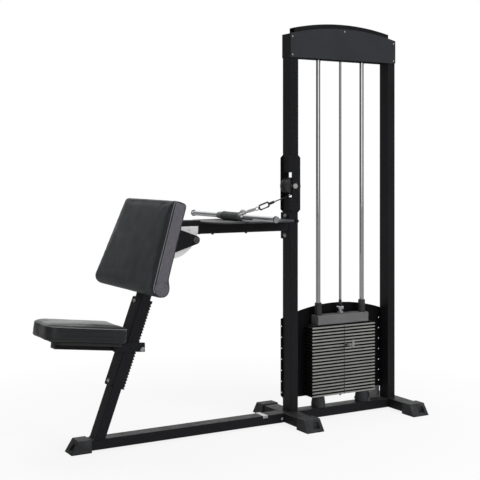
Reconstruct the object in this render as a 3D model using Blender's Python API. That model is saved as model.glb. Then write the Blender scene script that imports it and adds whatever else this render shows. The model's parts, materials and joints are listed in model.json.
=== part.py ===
"""Biceps triceps machine: a seated curl station with a sloped arm pad, fed by one weight tower.

Metres, +Z up. X runs along the machine from the seat to the tower, and Y across it, away from the viewer.
In the machine's own frame X is 0 on the front upright's axis and Z is 0 on the floor. Everything hangs on
one empty, which centres the machine over the origin.
"""

import math

import bmesh
import bpy
from mathutils import Matrix, Vector

# Clearances
SEAM = 0.0003
BORE_GAP = 0.0004
SLIDE_GAP = 0.0005
CUT_PAST = 0.010
RIM_CHAMFER = 0.003

# Steel tubes
TUBE_WALL = 0.003
TUBE_CORNER = 0.005
BASE_WIDTH = 0.080
BASE_HEIGHT = 0.050
CROSSFOOT_WIDTH = 0.090
UPRIGHT_DEPTH = 0.050
UPRIGHT_WIDTH = 0.080

# Rubber feet
SOLE = 0.008
FOOT_LENGTH = 0.105
FOOT_SOCKET = 0.060
FOOT_WALL = 0.005
FOOT_FLARE = 0.0045
FOOT_SLOPE = 0.038
FOOT_ROUND = 0.003
FOOT_POCKET_WALL = 0.010

# Footprint
TOWER_SPACING = 0.661
FOOT_SPREAD = 0.554
FLOOR_TUBE_REACH = 1.267

# Tower
UPRIGHT_TOP = 2.093
COVER_THICK = 0.003
COVER_BOTTOM = 1.967
COVER_END_TOP = 2.095
COVER_RISE = 0.044
COVER_OVERHANG = 0.025
TOP_BEAM_WIDTH = 0.050
TOP_BEAM_END_TOP = 2.130
TOP_BEAM_RISE = 0.035
TOP_BEAM_INSET = 0.012
TOP_BEAM_BOTTOM = 2.005
SHROUD_OVERHANG = 0.010
SHROUD_BOTTOM = 0.115
SHROUD_END_TOP = 0.550
SHROUD_RISE = 0.067
SHROUD_CHAMFER = 0.018
SHROUD_HOLE = 0.0035
SHROUD_HOLE_PITCH = 0.060
SHROUD_HOLE_ROWS = 7
SHROUD_HOLE_LOW = 0.150
SHROUD_HOLE_OFFSET = 0.0052

# Weight stack
PLATE_COUNT = 22
LIFTED_COUNT = 7
PLATE_PITCH = 0.01773
PLATE_BEVEL = 0.0015
PLATE_LENGTH = 0.426
PLATE_WIDTH = 0.080
PLATE_CORNER = 0.004
STACK_BOTTOM = 0.1186
ROD_SPREAD = 0.296
ROD_RADIUS = 0.0125
ROD_TOP = 2.030
ROD_CLAMP_HEIGHT = 0.018
ROD_CLAMP_LENGTH = 0.050
PLATE_BORE_GAP = 0.001
BUMPER_BASE_RADIUS = 0.039
BUMPER_TOP_RADIUS = 0.033
HEAD_LENGTH = 0.342
HEAD_WIDTH = 0.070
HEAD_HEIGHT = 0.051
BUSH_RADIUS = 0.0195
BUSH_HEIGHT = 0.069
SELECTOR_RADIUS = 0.011
SELECTOR_TIP = 0.016
CLEVIS_NUT_RADIUS = 0.017
CLEVIS_NUT_HEIGHT = 0.014
CLEVIS_NECK_RADIUS = 0.009
CLEVIS_BLOCK = (0.034, 0.026, 0.018)
CLEVIS_HEIGHT = 0.040
CABLE_SOCKET = (0.0055, 0.012, 0.016)
PIN_RADIUS = 0.005
PIN_REACH = 0.078
PIN_DEPTH = 0.016
PIN_TIP_GAP = 0.004
PIN_HANDLE_HEIGHT = 0.038
PIN_HANDLE_THICK = 0.008

# Cables and pulleys
CABLE_RADIUS = 0.003
CABLE_OFFSET = 0.0065
CABLE_HOLE_GAP = 0.004
PULLEY_CABLE_RADIUS = 0.044
RIM_STAND = 0.0025
GROOVE_GAP = 0.0006
PULLEY_CHAMFER = 0.002
PULLEY_SIDE_GAP = 0.002
AXLE_RADIUS = 0.006
AXLE_HEAD_RADIUS = 0.010
AXLE_HEAD_HEIGHT = 0.006
TOWER_PULLEY_HEIGHT = 1.273
TOWER_PULLEY_WIDTH = 0.066
TOWER_AXLE_HEAD_RADIUS = 0.015
TOP_PULLEY_HEIGHT = 2.035
TOP_PULLEY_WIDTH = 0.036
PRESS_CABLE_IN_BEAM = 0.0235
BEAM_PULLEY_CABLE_RADIUS = 0.0275
END_PULLEY_CABLE_RADIUS = 0.0325
SMALL_PULLEY_WIDTH = 0.022
CURL_CABLE_ANGLE = math.radians(68)
SLOT_BOTTOM = 1.211
SLOT_TOP = 1.346
SLOT_HALF_WIDTH = 0.034
SLOT_CORNER_X = 0.0155
PULLEY_PLATE_BOTTOM = 1.1318
PULLEY_PLATE_TOP = 1.440
PULLEY_PLATE_WIDTH = 0.070
PULLEY_PLATE_THICK = 0.005
PULLEY_PLATE_CHAMFER = 0.014

# Table
BEAM_BOTTOM = 1.033
BEAM_HEIGHT = 0.055
BEAM_END = 0.572
FLANGE_THICK = 0.008
FLANGE_WIDTH = 0.088
FLANGE_BELOW_BEAM = 0.0455
FLANGE_ABOVE_BEAM = 0.043
END_PLATE_THICK = 0.006
TABLE_THICK = 0.008
TABLE_HALF_WIDTH = 0.185
TABLE_NEAR_END = 0.042
TABLE_FAR_END = 0.562
TABLE_CORNER = 0.120
BRIDGE_HEIGHT = 0.0285
BRIDGE_ABOVE_BEAM = 0.0415
BRIDGE_END = 0.792
END_PULLEY_X = 0.680
BRIDGE_SLOT_HALF_LENGTH = 0.042
BRIDGE_SLOT_HALF_WIDTH = 0.020
GUARD_RADIUS = 0.161
GUARD_THICK = 0.004
GUARD_CENTRE_X = 0.746
GUARD_SWEEP = math.radians(110)
CROSS_TUBE_RADIUS = 0.017
CROSS_TUBE_WALL = 0.0025
CROSS_TUBE_HALF = 0.064
CROSS_TUBE_PLACE = (-0.606, 1.005)
GUSSET_THICK = 0.006
GUSSET_OFFSET = 0.056
GUSSET_COLLAR = 0.021
GUSSET_HIGH = 1.095
GUSSET_LOW = 0.905
BRACKET_PLATE = (0.935, 1.055)
BRACKET_PLATE_THICK = 0.006

# Slanted post
POST_BASE_X = -1.1154
POST_TILT = math.radians(20)
STRIP_LOW = 0.254
STRIP_LENGTH = 0.450
STRIP_WIDTH = 0.072
STRIP_THICK = 0.014
STRIP_CORNER = 0.012
RACK_WIDTH = 0.072
RACK_DEPTH = 0.015
RACK_TOOTH = 0.004
RACK_PITCH = 0.015

# Arm pad, in the post's own frame: across it, and up along it
PAD_STANDOFF = 0.041
PAD_THICK = 0.070
PAD_LOW = 0.7205
PAD_TOP = 1.187
PAD_ROLL_RADIUS = 0.044
PAD_ROLL_BACK = 0.020
PAD_HALF_BOTTOM = 0.365
PAD_HALF_TOP = 0.290
PAD_EDGE = 0.010
PAD_CROWN = 0.006
PAD_TOP_CORNER = 0.014
PAD_BACK_CORNER = 0.006
PAD_WAIST = 0.010
PAD_FACE_STEPS = 6
PAD_ROLL_STEPS = 9
PAD_BOARD_THICK = 0.012
PAD_BOARD_INSET = 0.045
PAD_BOARD_CORNER = 0.030

# Seat
SEAT_UP_POST = 0.460
SEAT_TILT = math.radians(6.5)
SEAT_CENTRE = (-1.2137, 0.546)
SEAT_LENGTH = 0.414
SEAT_WIDTH = 0.260
SEAT_THICK = 0.079
SEAT_CROWN = 0.008
SEAT_CORNER = 0.055
SEAT_POST_CORNER = 0.025
SEAT_DRAW = 0.004
SEAT_BOARD_THICK = 0.018
SEAT_BOARD_INSET = 0.012
SEAT_BEAM_HEIGHT = 0.030
SEAT_BEAM_WIDTH = 0.060
SEAT_BEAM_FRONT = 0.122
SEAT_BEAM_UNCUT_END = 0.300
CARRIAGE_PLATE = 0.005
CARRIAGE_CROSS = 0.008
CARRIAGE_LEFT = -1.052
CARRIAGE_RIGHT = -0.883
CARRIAGE_LOW_LEFT = 0.4765
CARRIAGE_LOW_RIGHT = 0.461
CARRIAGE_TALL = 0.046
CARRIAGE_TALL_LEFT = 0.024
LOCK_PIN_PLACE = (-0.900, 0.4760)
LOCK_PIN_RADIUS = 0.012
LOCK_PIN_HEAD = 0.010

# Curl handle, in a frame at the bar's middle with +X along the chain
BAR_X = -0.362
BAR_RADIUS = 0.014
BAR_HALF = 0.428
BAR_CAP_RADIUS = 0.017
BAR_CAP_LENGTH = 0.012
SLEEVE_RADIUS = 0.022
SLEEVE_HALF = 0.085
CHAIN_RISE = math.radians(13)
SWIVEL_RADIUS = 0.019
SWIVEL_PLACE = 0.0665
LINK_START = 0.0925
LINK_LENGTH = 0.054
LINK_WIDTH = 0.016
LINK_THICK = 0.005
RING_RADIUS = 0.009
RING_WIRE = 0.0025
CLIP_LENGTH = 0.070
CLIP_WIDTH = 0.034
CLIP_WIRE = 0.0038
FERRULE_RADIUS = 0.0075
FERRULE_LENGTH = 0.028
HANDLE_CABLE_STEPS = 6
HANDLE_PIVOT = (-0.0682, 2.3398)

# Press-down end behind the arm pad
PRESS_CABLE_STUB = 0.022
PRESS_FERRULE_RADIUS = 0.008
PRESS_FERRULE_LENGTH = 0.032
PRESS_RING_RADIUS = 0.016
PRESS_RING_WIRE = 0.004

# Facets
ROUND_SIDES = 24
SMALL_SIDES = 12
ARC_STEPS = 4
SMOOTH_ANGLE = math.radians(35)

# Worked out from the sizes above
BASE_TOP = SOLE + BASE_HEIGHT
STACK_X = TOWER_SPACING / 2
HALF_DEPTH = UPRIGHT_DEPTH / 2
HALF_WIDTH = UPRIGHT_WIDTH / 2
STACK_TOP = STACK_BOTTOM + PLATE_COUNT * PLATE_PITCH
HEAD_BOTTOM = STACK_TOP + SEAM
HEAD_TOP = HEAD_BOTTOM + HEAD_HEIGHT
LIFTED_BOTTOM = STACK_BOTTOM + (PLATE_COUNT - LIFTED_COUNT) * PLATE_PITCH
PIN_HEIGHT = LIFTED_BOTTOM + PLATE_PITCH / 2
CLEVIS_TOP = HEAD_TOP + SEAM + CLEVIS_HEIGHT
FRONT_PULLEY_X = 2 * PULLEY_CABLE_RADIUS
STACK_PULLEY_X = STACK_X - PULLEY_CABLE_RADIUS
BEAM_PULLEY_X = PULLEY_CABLE_RADIUS - BEAM_PULLEY_CABLE_RADIUS
PRESS_CABLE_HEIGHT = BEAM_BOTTOM + PRESS_CABLE_IN_BEAM
BEAM_PULLEY_HEIGHT = PRESS_CABLE_HEIGHT + BEAM_PULLEY_CABLE_RADIUS
END_PULLEY_HEIGHT = PRESS_CABLE_HEIGHT + END_PULLEY_CABLE_RADIUS
PRESS_X = -END_PULLEY_X - END_PULLEY_CABLE_RADIUS
TABLE_TOP = BEAM_BOTTOM + BEAM_HEIGHT + SEAM + TABLE_THICK
BAR_HEIGHT = TABLE_TOP + SEAM + SLEEVE_RADIUS
BRIDGE_BOTTOM = BEAM_BOTTOM + BRIDGE_ABOVE_BEAM
POST_TOP = BRIDGE_BOTTOM - SEAM
STRIP_TOP = STRIP_LOW + STRIP_LENGTH
PAD_BACK = -HALF_DEPTH - PAD_STANDOFF
PAD_FRONT = PAD_BACK - PAD_THICK
BOARD_BACK = PAD_BACK + SEAM + PAD_BOARD_THICK
SEAT_BEAM_TOP = -2 * SEAM - SEAT_BOARD_THICK

FINISHES = {
    "powder_coat": ((0.022, 0.022, 0.025), 0.42, 0.0),
    "cover_coat": ((0.032, 0.034, 0.038), 0.50, 0.0),
    "rubber": ((0.016, 0.017, 0.018), 0.75, 0.0),
    "chrome": ((0.75, 0.76, 0.78), 0.12, 1.0),
    "brushed_steel": ((0.52, 0.53, 0.54), 0.32, 1.0),
    "plate_coat": ((0.42, 0.42, 0.41), 0.42, 0.6),
    "pale_sheet": ((0.72, 0.73, 0.74), 0.40, 0.2),
    "upholstery": ((0.035, 0.042, 0.045), 0.55, 0.0),
    "plywood": ((0.020, 0.020, 0.022), 0.70, 0.0),
    "nylon": ((0.030, 0.030, 0.032), 0.45, 0.0),
    "cable_jacket": ((0.030, 0.031, 0.033), 0.40, 0.0),
    "zinc": ((0.55, 0.56, 0.58), 0.30, 1.0),
}


def clear_scene():
    for obj in list(bpy.data.objects):
        bpy.data.objects.remove(obj, do_unlink=True)


# Outlines: lists of (u, v) points, counter-clockwise


def rectangle(low_u, high_u, low_v, high_v):
    return [(low_u, low_v), (high_u, low_v), (high_u, high_v), (low_u, high_v)]


def circle(radius, sides, centre=(0.0, 0.0)):
    turns = [2 * math.pi * (k + 0.5) / sides for k in range(sides)]
    return [(centre[0] + radius * math.cos(a), centre[1] + radius * math.sin(a)) for a in turns]


def arc(centre, radius, start, end, steps):
    angles = [start + (end - start) * k / steps for k in range(steps + 1)]
    return [(centre[0] + radius * math.cos(a), centre[1] + radius * math.sin(a)) for a in angles]


def rounded(corners, radius, steps=ARC_STEPS):
    """The outline through these corners, each turned by an arc. One radius, or one for each corner."""
    radii = [radius] * len(corners) if isinstance(radius, float) else radius
    outline = []
    for k, corner in enumerate(corners):
        here = Vector(corner)
        back = (Vector(corners[k - 1]) - here).normalized()
        ahead = (Vector(corners[(k + 1) % len(corners)]) - here).normalized()
        if radii[k] == 0:
            outline.append(corner)
            continue
        half = back.angle(ahead) / 2
        centre = here + (back + ahead).normalized() * (radii[k] / math.sin(half))
        first = here + back * (radii[k] / math.tan(half)) - centre
        last = here + ahead * (radii[k] / math.tan(half)) - centre
        start = math.atan2(first.y, first.x)
        swing = math.remainder(math.atan2(last.y, last.x) - start, 2 * math.pi)
        outline += arc(centre, radii[k], start, start + swing, steps)
    return outline


def arched(left, right, bottom, end_top, rise, steps=16):
    """A plate outline with a flat foot and an arched top edge."""
    half = (right - left) / 2
    radius = (half**2 + rise**2) / (2 * rise)
    swing = math.asin(half / radius)
    centre = ((left + right) / 2, end_top + rise - radius)
    top = arc(centre, radius, math.pi / 2 - swing, math.pi / 2 + swing, steps)
    return [(left, bottom), (right, bottom)] + top


# Solids: each function returns a bmesh

AXIS_MAPS = {
    "X": lambda u, v, w: (w, u, v),
    "Y": lambda u, v, w: (u, w, v),
    "Z": lambda u, v, w: (u, v, w),
}


def prism(outline, low, high, axis="Z", hollow=None):
    """The outline carried from low to high along an axis. A hollow outline runs right through it."""
    place = AXIS_MAPS[axis]
    shape = bmesh.new()
    rings = [[shape.verts.new(place(u, v, low)) for u, v in ring] for ring in (outline, hollow) if ring]
    if hollow:
        edges = [shape.edges.new((ring[k - 1], ring[k])) for ring in rings for k in range(len(ring))]
        base = bmesh.ops.bridge_loops(shape, edges=edges)["faces"]
    else:
        base = [shape.faces.new(rings[0])]
    grown = bmesh.ops.extrude_face_region(shape, geom=base)["geom"]
    carried = [item for item in grown if isinstance(item, bmesh.types.BMVert)]
    bmesh.ops.translate(shape, vec=place(0.0, 0.0, high - low), verts=carried)
    return shape


def box(x, y, z):
    return prism(rectangle(*x, *y), *z)


def box_tube(width, height, low, high, axis, centre=(0.0, 0.0), wall=TUBE_WALL, corner=TUBE_CORNER):
    """A rectangular tube along an axis, with rounded corners."""
    u, v = centre
    outer = rectangle(u - width / 2, u + width / 2, v - height / 2, v + height / 2)
    inner = rectangle(
        u - width / 2 + wall, u + width / 2 - wall, v - height / 2 + wall, v + height / 2 - wall
    )
    return prism(rounded(outer, corner), low, high, axis, rounded(inner, max(corner - wall, 0.001)))


def turned(profile, axis="Z", sides=ROUND_SIDES):
    """A profile of (radius, height) points turned about an axis. It closes on the axis or on itself."""
    shape = bmesh.new()
    points = [shape.verts.new((radius, 0.0, height)) for radius, height in profile]
    edges = [shape.edges.new(pair) for pair in zip(points, points[1:])]
    if profile[0][0] > 0:
        edges.append(shape.edges.new((points[-1], points[0])))
    bmesh.ops.spin(
        shape,
        geom=points + edges,
        cent=(0, 0, 0),
        axis=(0, 0, 1),
        angle=2 * math.pi,
        steps=sides,
        use_merge=True,
    )
    bmesh.ops.remove_doubles(shape, verts=shape.verts[:], dist=0.00001)
    turn = {"X": Matrix.Rotation(math.pi / 2, 3, "Y"), "Y": Matrix.Rotation(-math.pi / 2, 3, "X")}
    if axis in turn:
        bmesh.ops.rotate(shape, cent=(0, 0, 0), matrix=turn[axis], verts=shape.verts[:])
    return shape


def rod(radius, low, high, axis="Z", sides=ROUND_SIDES):
    return turned([(0.0, low), (radius, low), (radius, high), (0.0, high)], axis, sides)


def hoop(radius, wire, sides=ROUND_SIDES):
    """A round ring of wire about the Y axis."""
    section = [(radius + u, v) for u, v in circle(wire, 8)]
    return turned(section, "Y", sides)


def moved(shape, x=0.0, y=0.0, z=0.0):
    bmesh.ops.translate(shape, vec=(x, y, z), verts=shape.verts[:])
    return shape


def tilted(shape, angle):
    """Turned about +Y, so that +X dips for a positive angle."""
    bmesh.ops.rotate(shape, cent=(0, 0, 0), matrix=Matrix.Rotation(angle, 3, "Y"), verts=shape.verts[:])
    return shape


def softened(shape, width, segments=1):
    bmesh.ops.bevel(
        shape,
        geom=shape.edges[:],
        offset=width,
        offset_type="OFFSET",
        segments=segments,
        profile=0.5,
        affect="EDGES",
        material=-1,
        clamp_overlap=True,
    )
    return shape


def together(*shapes):
    """Several solids in one mesh, each still a solid of its own."""
    whole = bmesh.new()
    for shape in shapes:
        bmesh.ops.recalc_face_normals(shape, faces=shape.faces[:])
        carrier = bpy.data.meshes.new("carrier")
        shape.to_mesh(carrier)
        shape.free()
        whole.from_mesh(carrier)
        bpy.data.meshes.remove(carrier)
    return whole


def lofted(rings):
    """A closed form through rings of points, each with the same count, flat across its two ends."""
    shape = bmesh.new()
    loops = [[shape.verts.new(point) for point in ring] for ring in rings]
    for low, high in zip(loops, loops[1:]):
        for k in range(len(low)):
            shape.faces.new((low[k - 1], low[k], high[k], high[k - 1]))
    shape.faces.new(loops[0])
    shape.faces.new(loops[-1])
    return shape


# Objects


def add_empty(name, parent=None, location=(0, 0, 0), tilt=0.0):
    empty = bpy.data.objects.new(name, None)
    bpy.context.scene.collection.objects.link(empty)
    empty.parent = parent
    empty.location = location
    empty.rotation_euler = (0.0, tilt, 0.0)
    return empty


def finish_material(name, finish):
    colour, roughness, metallic = FINISHES[finish]
    made = bpy.data.materials.new(name + "_finish")
    made.use_nodes = True
    shader = made.node_tree.nodes["Principled BSDF"]
    shader.inputs["Base Color"].default_value = (*colour, 1.0)
    shader.inputs["Roughness"].default_value = roughness
    shader.inputs["Metallic"].default_value = metallic
    made.diffuse_color = (*colour, 1.0)
    return made


def add_part(name, shape, finish, parent, location=(0, 0, 0)):
    bmesh.ops.recalc_face_normals(shape, faces=shape.faces[:])
    mesh = bpy.data.meshes.new(name)
    shape.to_mesh(mesh)
    shape.free()
    mesh.shade_smooth()
    mesh.set_sharp_from_angle(angle=SMOOTH_ANGLE)
    mesh.materials.append(finish_material(name, finish))
    part = bpy.data.objects.new(name, mesh)
    bpy.context.scene.collection.objects.link(part)
    part.parent = parent
    part.location = location
    return part


def combine(part, shape, operation):
    bmesh.ops.recalc_face_normals(shape, faces=shape.faces[:])
    mesh = bpy.data.meshes.new(part.name + "_tool")
    shape.to_mesh(mesh)
    shape.free()
    tool = bpy.data.objects.new(part.name + "_tool", mesh)
    bpy.context.scene.collection.objects.link(tool)
    tool.parent = part
    tool.hide_render = True
    tool.display_type = "WIRE"
    step = part.modifiers.new(operation.lower(), "BOOLEAN")
    step.operation = operation
    step.object = tool


def cut(part, *shapes):
    combine(part, together(*shapes), "DIFFERENCE")


def weld(part, *shapes):
    for shape in shapes:
        combine(part, shape, "UNION")


def add_cable(name, places, parent):
    """A round cable with closed ends through these points."""
    curve = bpy.data.curves.new(name, "CURVE")
    curve.dimensions = "3D"
    curve.bevel_depth = CABLE_RADIUS
    curve.bevel_resolution = 2
    curve.use_fill_caps = True
    spline = curve.splines.new("POLY")
    spline.points.add(len(places) - 1)
    for point, place in zip(spline.points, places):
        point.co = (*place, 1.0)
    curve.materials.append(finish_material(name, "cable_jacket"))
    cable = bpy.data.objects.new(name, curve)
    bpy.context.scene.collection.objects.link(cable)
    cable.parent = parent
    return cable


# Base


def foot_cap(tube_width):
    """A rubber end cap whose closed end leans back, in a frame where the tube comes in from -X."""
    top = BASE_TOP + FOOT_WALL
    half = tube_width / 2 + FOOT_WALL
    side = [(0.0, 0.0), (FOOT_LENGTH, 0.0), (FOOT_LENGTH - FOOT_SLOPE, top), (0.0, top)]
    shape = prism(side, -half, half, "Y")
    for vert in shape.verts:
        vert.co.y *= 1 + FOOT_FLARE / half * (1 - vert.co.z / top)
    return softened(shape, FOOT_ROUND, 2)


def foot_hollows(tube_width):
    half = tube_width / 2 + SEAM
    socket = box((-0.02, FOOT_SOCKET + SEAM), (-half, half), (SOLE - SEAM, BASE_TOP + SEAM))
    low, high = SOLE + 0.006, BASE_TOP - 0.010
    panel = [(-half * 0.25, low), (half * 0.72, low), (half * 0.72, high), (half * 0.02, high)]
    back = FOOT_SOCKET + SEAM + FOOT_POCKET_WALL
    return socket, prism(rounded(panel, 0.003, 2), back, FOOT_LENGTH + 0.02, "X")


def place_foot(shape, x, y, heading):
    """Turns a foot to point along its heading about +Z, and carries it to the tube's end."""
    turn = Matrix.Rotation(heading, 3, "Z")
    bmesh.ops.rotate(shape, cent=(0, 0, 0), matrix=turn, verts=shape.verts[:])
    return moved(shape, x, y)


def add_foot(name, tube_width, place, machine):
    foot = add_part(name, place_foot(foot_cap(tube_width), *place), "rubber", machine)
    cut(foot, *[place_foot(hollow, *place) for hollow in foot_hollows(tube_width)])


def crossfoot_centre(front):
    """The crossfoot's inner face is flush with its upright's inner face."""
    offset = (CROSSFOOT_WIDTH - UPRIGHT_DEPTH) / 2
    return -offset if front else TOWER_SPACING + offset


def add_base(machine):
    middle = SOLE + BASE_HEIGHT / 2
    foot_start = FOOT_SPREAD / 2 - FOOT_LENGTH
    half = foot_start + FOOT_SOCKET
    for end, front in (("front", True), ("rear", False)):
        x = crossfoot_centre(front)
        tube = box_tube(CROSSFOOT_WIDTH, BASE_HEIGHT, -half, half, "Y", (x, middle))
        add_part("crossfoot_" + end, tube, "powder_coat", machine)
        for side, way in (("near", -1), ("far", 1)):
            place = (x, way * foot_start, way * math.pi / 2)
            add_foot(f"foot_{end}_{side}", CROSSFOOT_WIDTH, place, machine)
    rail_ends = (HALF_DEPTH + SEAM, TOWER_SPACING - HALF_DEPTH - SEAM)
    rail = box_tube(BASE_WIDTH, BASE_HEIGHT, *rail_ends, "X", (0.0, middle))
    add_part("base_rail", rail, "powder_coat", machine)

    cap_start = -FLOOR_TUBE_REACH + FOOT_LENGTH
    tube_ends = (cap_start - FOOT_SOCKET, crossfoot_centre(True) - CROSSFOOT_WIDTH / 2 - SEAM)
    tube = box_tube(BASE_WIDTH, BASE_HEIGHT, *tube_ends, "X", (0.0, middle))
    add_part("floor_tube", tube, "powder_coat", machine)
    add_foot("foot_seat_end", BASE_WIDTH, (cap_start, 0.0, math.pi), machine)


# Tower


def add_uprights(machine):
    ends = (BASE_TOP + SEAM, UPRIGHT_TOP)
    front = box_tube(UPRIGHT_DEPTH, UPRIGHT_WIDTH, *ends, "Z")
    front = add_part("upright_front", front, "powder_coat", machine)
    past = HALF_DEPTH + CUT_PAST
    axle_bore = AXLE_RADIUS + BORE_GAP
    small_half = SMALL_PULLEY_WIDTH / 2 + PULLEY_SIDE_GAP
    rim = BEAM_PULLEY_CABLE_RADIUS + RIM_STAND + 2 * PULLEY_SIDE_GAP
    cut(
        front,
        box((-past, past), (-SLOT_HALF_WIDTH, SLOT_HALF_WIDTH), (SLOT_BOTTOM, SLOT_TOP)),
        moved(rod(axle_bore, -HALF_WIDTH - CUT_PAST, HALF_WIDTH + CUT_PAST, "Y"), z=TOWER_PULLEY_HEIGHT),
        box(
            (HALF_DEPTH - 2 * TUBE_WALL, past),
            (CABLE_OFFSET - small_half, CABLE_OFFSET + small_half),
            (BEAM_PULLEY_HEIGHT - rim, BEAM_PULLEY_HEIGHT + rim),
        ),
        press_cable_bore(-past, -HALF_DEPTH + 2 * TUBE_WALL),
    )
    cut(front, *opened_corners(HALF_WIDTH + CUT_PAST))
    weld(front, *axle(HALF_WIDTH, BEAM_PULLEY_X, BEAM_PULLEY_HEIGHT))
    rear = box_tube(UPRIGHT_DEPTH, UPRIGHT_WIDTH, *ends, "Z", (TOWER_SPACING, 0.0))
    add_part("upright_rear", rear, "powder_coat", machine)


def opened_corners(reach):
    """The pulley's window is wider at two corners, near the front and far at the back, and shows daylight there."""
    inner, outer = SLOT_CORNER_X, PULLEY_PLATE_WIDTH / 2 + CUT_PAST
    heights = (SLOT_BOTTOM, SLOT_TOP)
    edge = SLOT_HALF_WIDTH - 2 * CUT_PAST
    return box((-outer, -inner), (-reach, -edge), heights), box((inner, outer), (edge, reach), heights)


def press_cable_bore(low, high):
    """A hole along X where the press-down cable runs."""
    bore = rod(CABLE_RADIUS + CABLE_HOLE_GAP, low, high, "X", SMALL_SIDES)
    return moved(bore, y=CABLE_OFFSET, z=PRESS_CABLE_HEIGHT)


def add_top_beam(machine):
    """An arched channel, open below, on both uprights. Two blocks in it hold the guide rods."""
    left, right = TOP_BEAM_INSET, TOWER_SPACING - TOP_BEAM_INSET
    half = TOP_BEAM_WIDTH / 2
    outline = arched(left, right, UPRIGHT_TOP + SEAM, TOP_BEAM_END_TOP, TOP_BEAM_RISE)
    inside = (HALF_DEPTH + SEAM, TOWER_SPACING - HALF_DEPTH - SEAM)
    step_left = [(inside[0], UPRIGHT_TOP + SEAM), (inside[0], TOP_BEAM_BOTTOM)]
    step_right = [(inside[1], TOP_BEAM_BOTTOM), (inside[1], UPRIGHT_TOP + SEAM)]
    outline = outline[:1] + step_left + step_right + outline[1:]
    beam = add_part("top_beam", prism(outline, -half, half, "Y"), "powder_coat", machine)
    below = TOP_BEAM_BOTTOM - CUT_PAST
    hollow = arched(left - CUT_PAST, right + CUT_PAST, below, TOP_BEAM_END_TOP - TUBE_WALL, TOP_BEAM_RISE)
    inner = half - TUBE_WALL
    cut(beam, prism(hollow, -inner, inner, "Y"))
    for x in (FRONT_PULLEY_X, STACK_PULLEY_X):
        weld(beam, *axle(half, x, TOP_PULLEY_HEIGHT))
    half_length, weld_half = ROD_CLAMP_LENGTH / 2, inner + TUBE_WALL / 3
    low, high = ROD_TOP - ROD_CLAMP_HEIGHT, ROD_TOP
    for x in rod_places():
        x += STACK_X
        weld(beam, box((x - half_length, x + half_length), (-weld_half, weld_half), (low, high)))
        cut(beam, moved(rod(ROD_RADIUS + BORE_GAP, low - CUT_PAST, high + CUT_PAST), x))


def both_sides(inner, thick):
    """A name and the Y limits for a sheet on each side of the machine."""
    return ("near", -inner - thick, -inner), ("far", inner, inner + thick)


def add_covers(machine):
    """Two arched plates over the top pulleys, each screwed to both uprights."""
    right = TOWER_SPACING + COVER_OVERHANG
    outline = arched(-HALF_DEPTH, right, COVER_BOTTOM, COVER_END_TOP, COVER_RISE)
    for side, low, high in both_sides(HALF_WIDTH + SEAM, COVER_THICK):
        add_part("cover_" + side, prism(outline, low, high, "Y"), "cover_coat", machine)


def add_shroud(machine):
    """A flat sheet behind the stack, with chamfered feet, an arched top and columns of round holes."""
    left = -HALF_DEPTH - SHROUD_OVERHANG
    right = TOWER_SPACING + HALF_DEPTH + SHROUD_OVERHANG
    outline = arched(left, right, SHROUD_BOTTOM, SHROUD_END_TOP, SHROUD_RISE)
    feet = [
        (left, SHROUD_BOTTOM + SHROUD_CHAMFER),
        (left + SHROUD_CHAMFER, SHROUD_BOTTOM),
        (right - SHROUD_CHAMFER, SHROUD_BOTTOM),
        (right, SHROUD_BOTTOM + SHROUD_CHAMFER),
    ]
    low, high = HALF_WIDTH + SEAM, HALF_WIDTH + SEAM + COVER_THICK
    sheet = add_part("shroud", prism(feet + outline[2:], low, high, "Y"), "cover_coat", machine)
    beside = HALF_DEPTH + SHROUD_HOLE_OFFSET
    holes = []
    for x in (-beside, beside, TOWER_SPACING - beside, TOWER_SPACING + beside):
        for row in range(SHROUD_HOLE_ROWS):
            hole = rod(SHROUD_HOLE, low - CUT_PAST, high + CUT_PAST, "Y", 8)
            holes.append(moved(hole, x, z=SHROUD_HOLE_LOW + SHROUD_HOLE_PITCH * row))
    cut(sheet, *holes)


# Weight stack, in a frame on the stack's middle line


def rod_places():
    return -ROD_SPREAD / 2, ROD_SPREAD / 2


def weight_plates(first, count):
    """A block of flat plates, with bevelled rims that leave a groove at each joint."""
    half_length, half_width = PLATE_LENGTH / 2, PLATE_WIDTH / 2
    outline = rounded(rectangle(-half_length, half_length, -half_width, half_width), PLATE_CORNER, 1)
    rings = []
    for k in range(first, first + count):
        low = STACK_BOTTOM + k * PLATE_PITCH
        high = low + PLATE_PITCH
        for inset, height in ((1, low), (0, low + PLATE_BEVEL), (0, high - PLATE_BEVEL), (1, high)):
            scale = (1 - inset * PLATE_BEVEL / half_length, 1 - inset * PLATE_BEVEL / half_width)
            rings.append([(x * scale[0], y * scale[1], height) for x, y in outline])
    return lofted([rings[0]] + [ring for k, ring in enumerate(rings[1:]) if (k + 1) % 4])


def stack_bores(low, high):
    rods = [moved(rod(ROD_RADIUS + PLATE_BORE_GAP, low, high, sides=SMALL_SIDES), x) for x in rod_places()]
    return rods + [rod(SELECTOR_RADIUS + PLATE_BORE_GAP, low, high, sides=SMALL_SIDES)]


def add_rods(tower):
    bore = ROD_RADIUS + BORE_GAP
    low, high = BASE_TOP + SEAM, STACK_BOTTOM - SEAM
    profile = [
        (bore, low),
        (BUMPER_BASE_RADIUS, low),
        (BUMPER_BASE_RADIUS, low + (high - low) / 3),
        (BUMPER_TOP_RADIUS, high),
        (bore, high),
    ]
    for end, x in zip(("front", "rear"), rod_places()):
        guide = rod(ROD_RADIUS, BASE_TOP + SEAM, ROD_TOP)
        add_part("guide_rod_" + end, guide, "chrome", tower, (x, 0.0, 0.0))
        add_part("bumper_" + end, turned(profile), "rubber", tower, (x, 0.0, 0.0))


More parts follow.
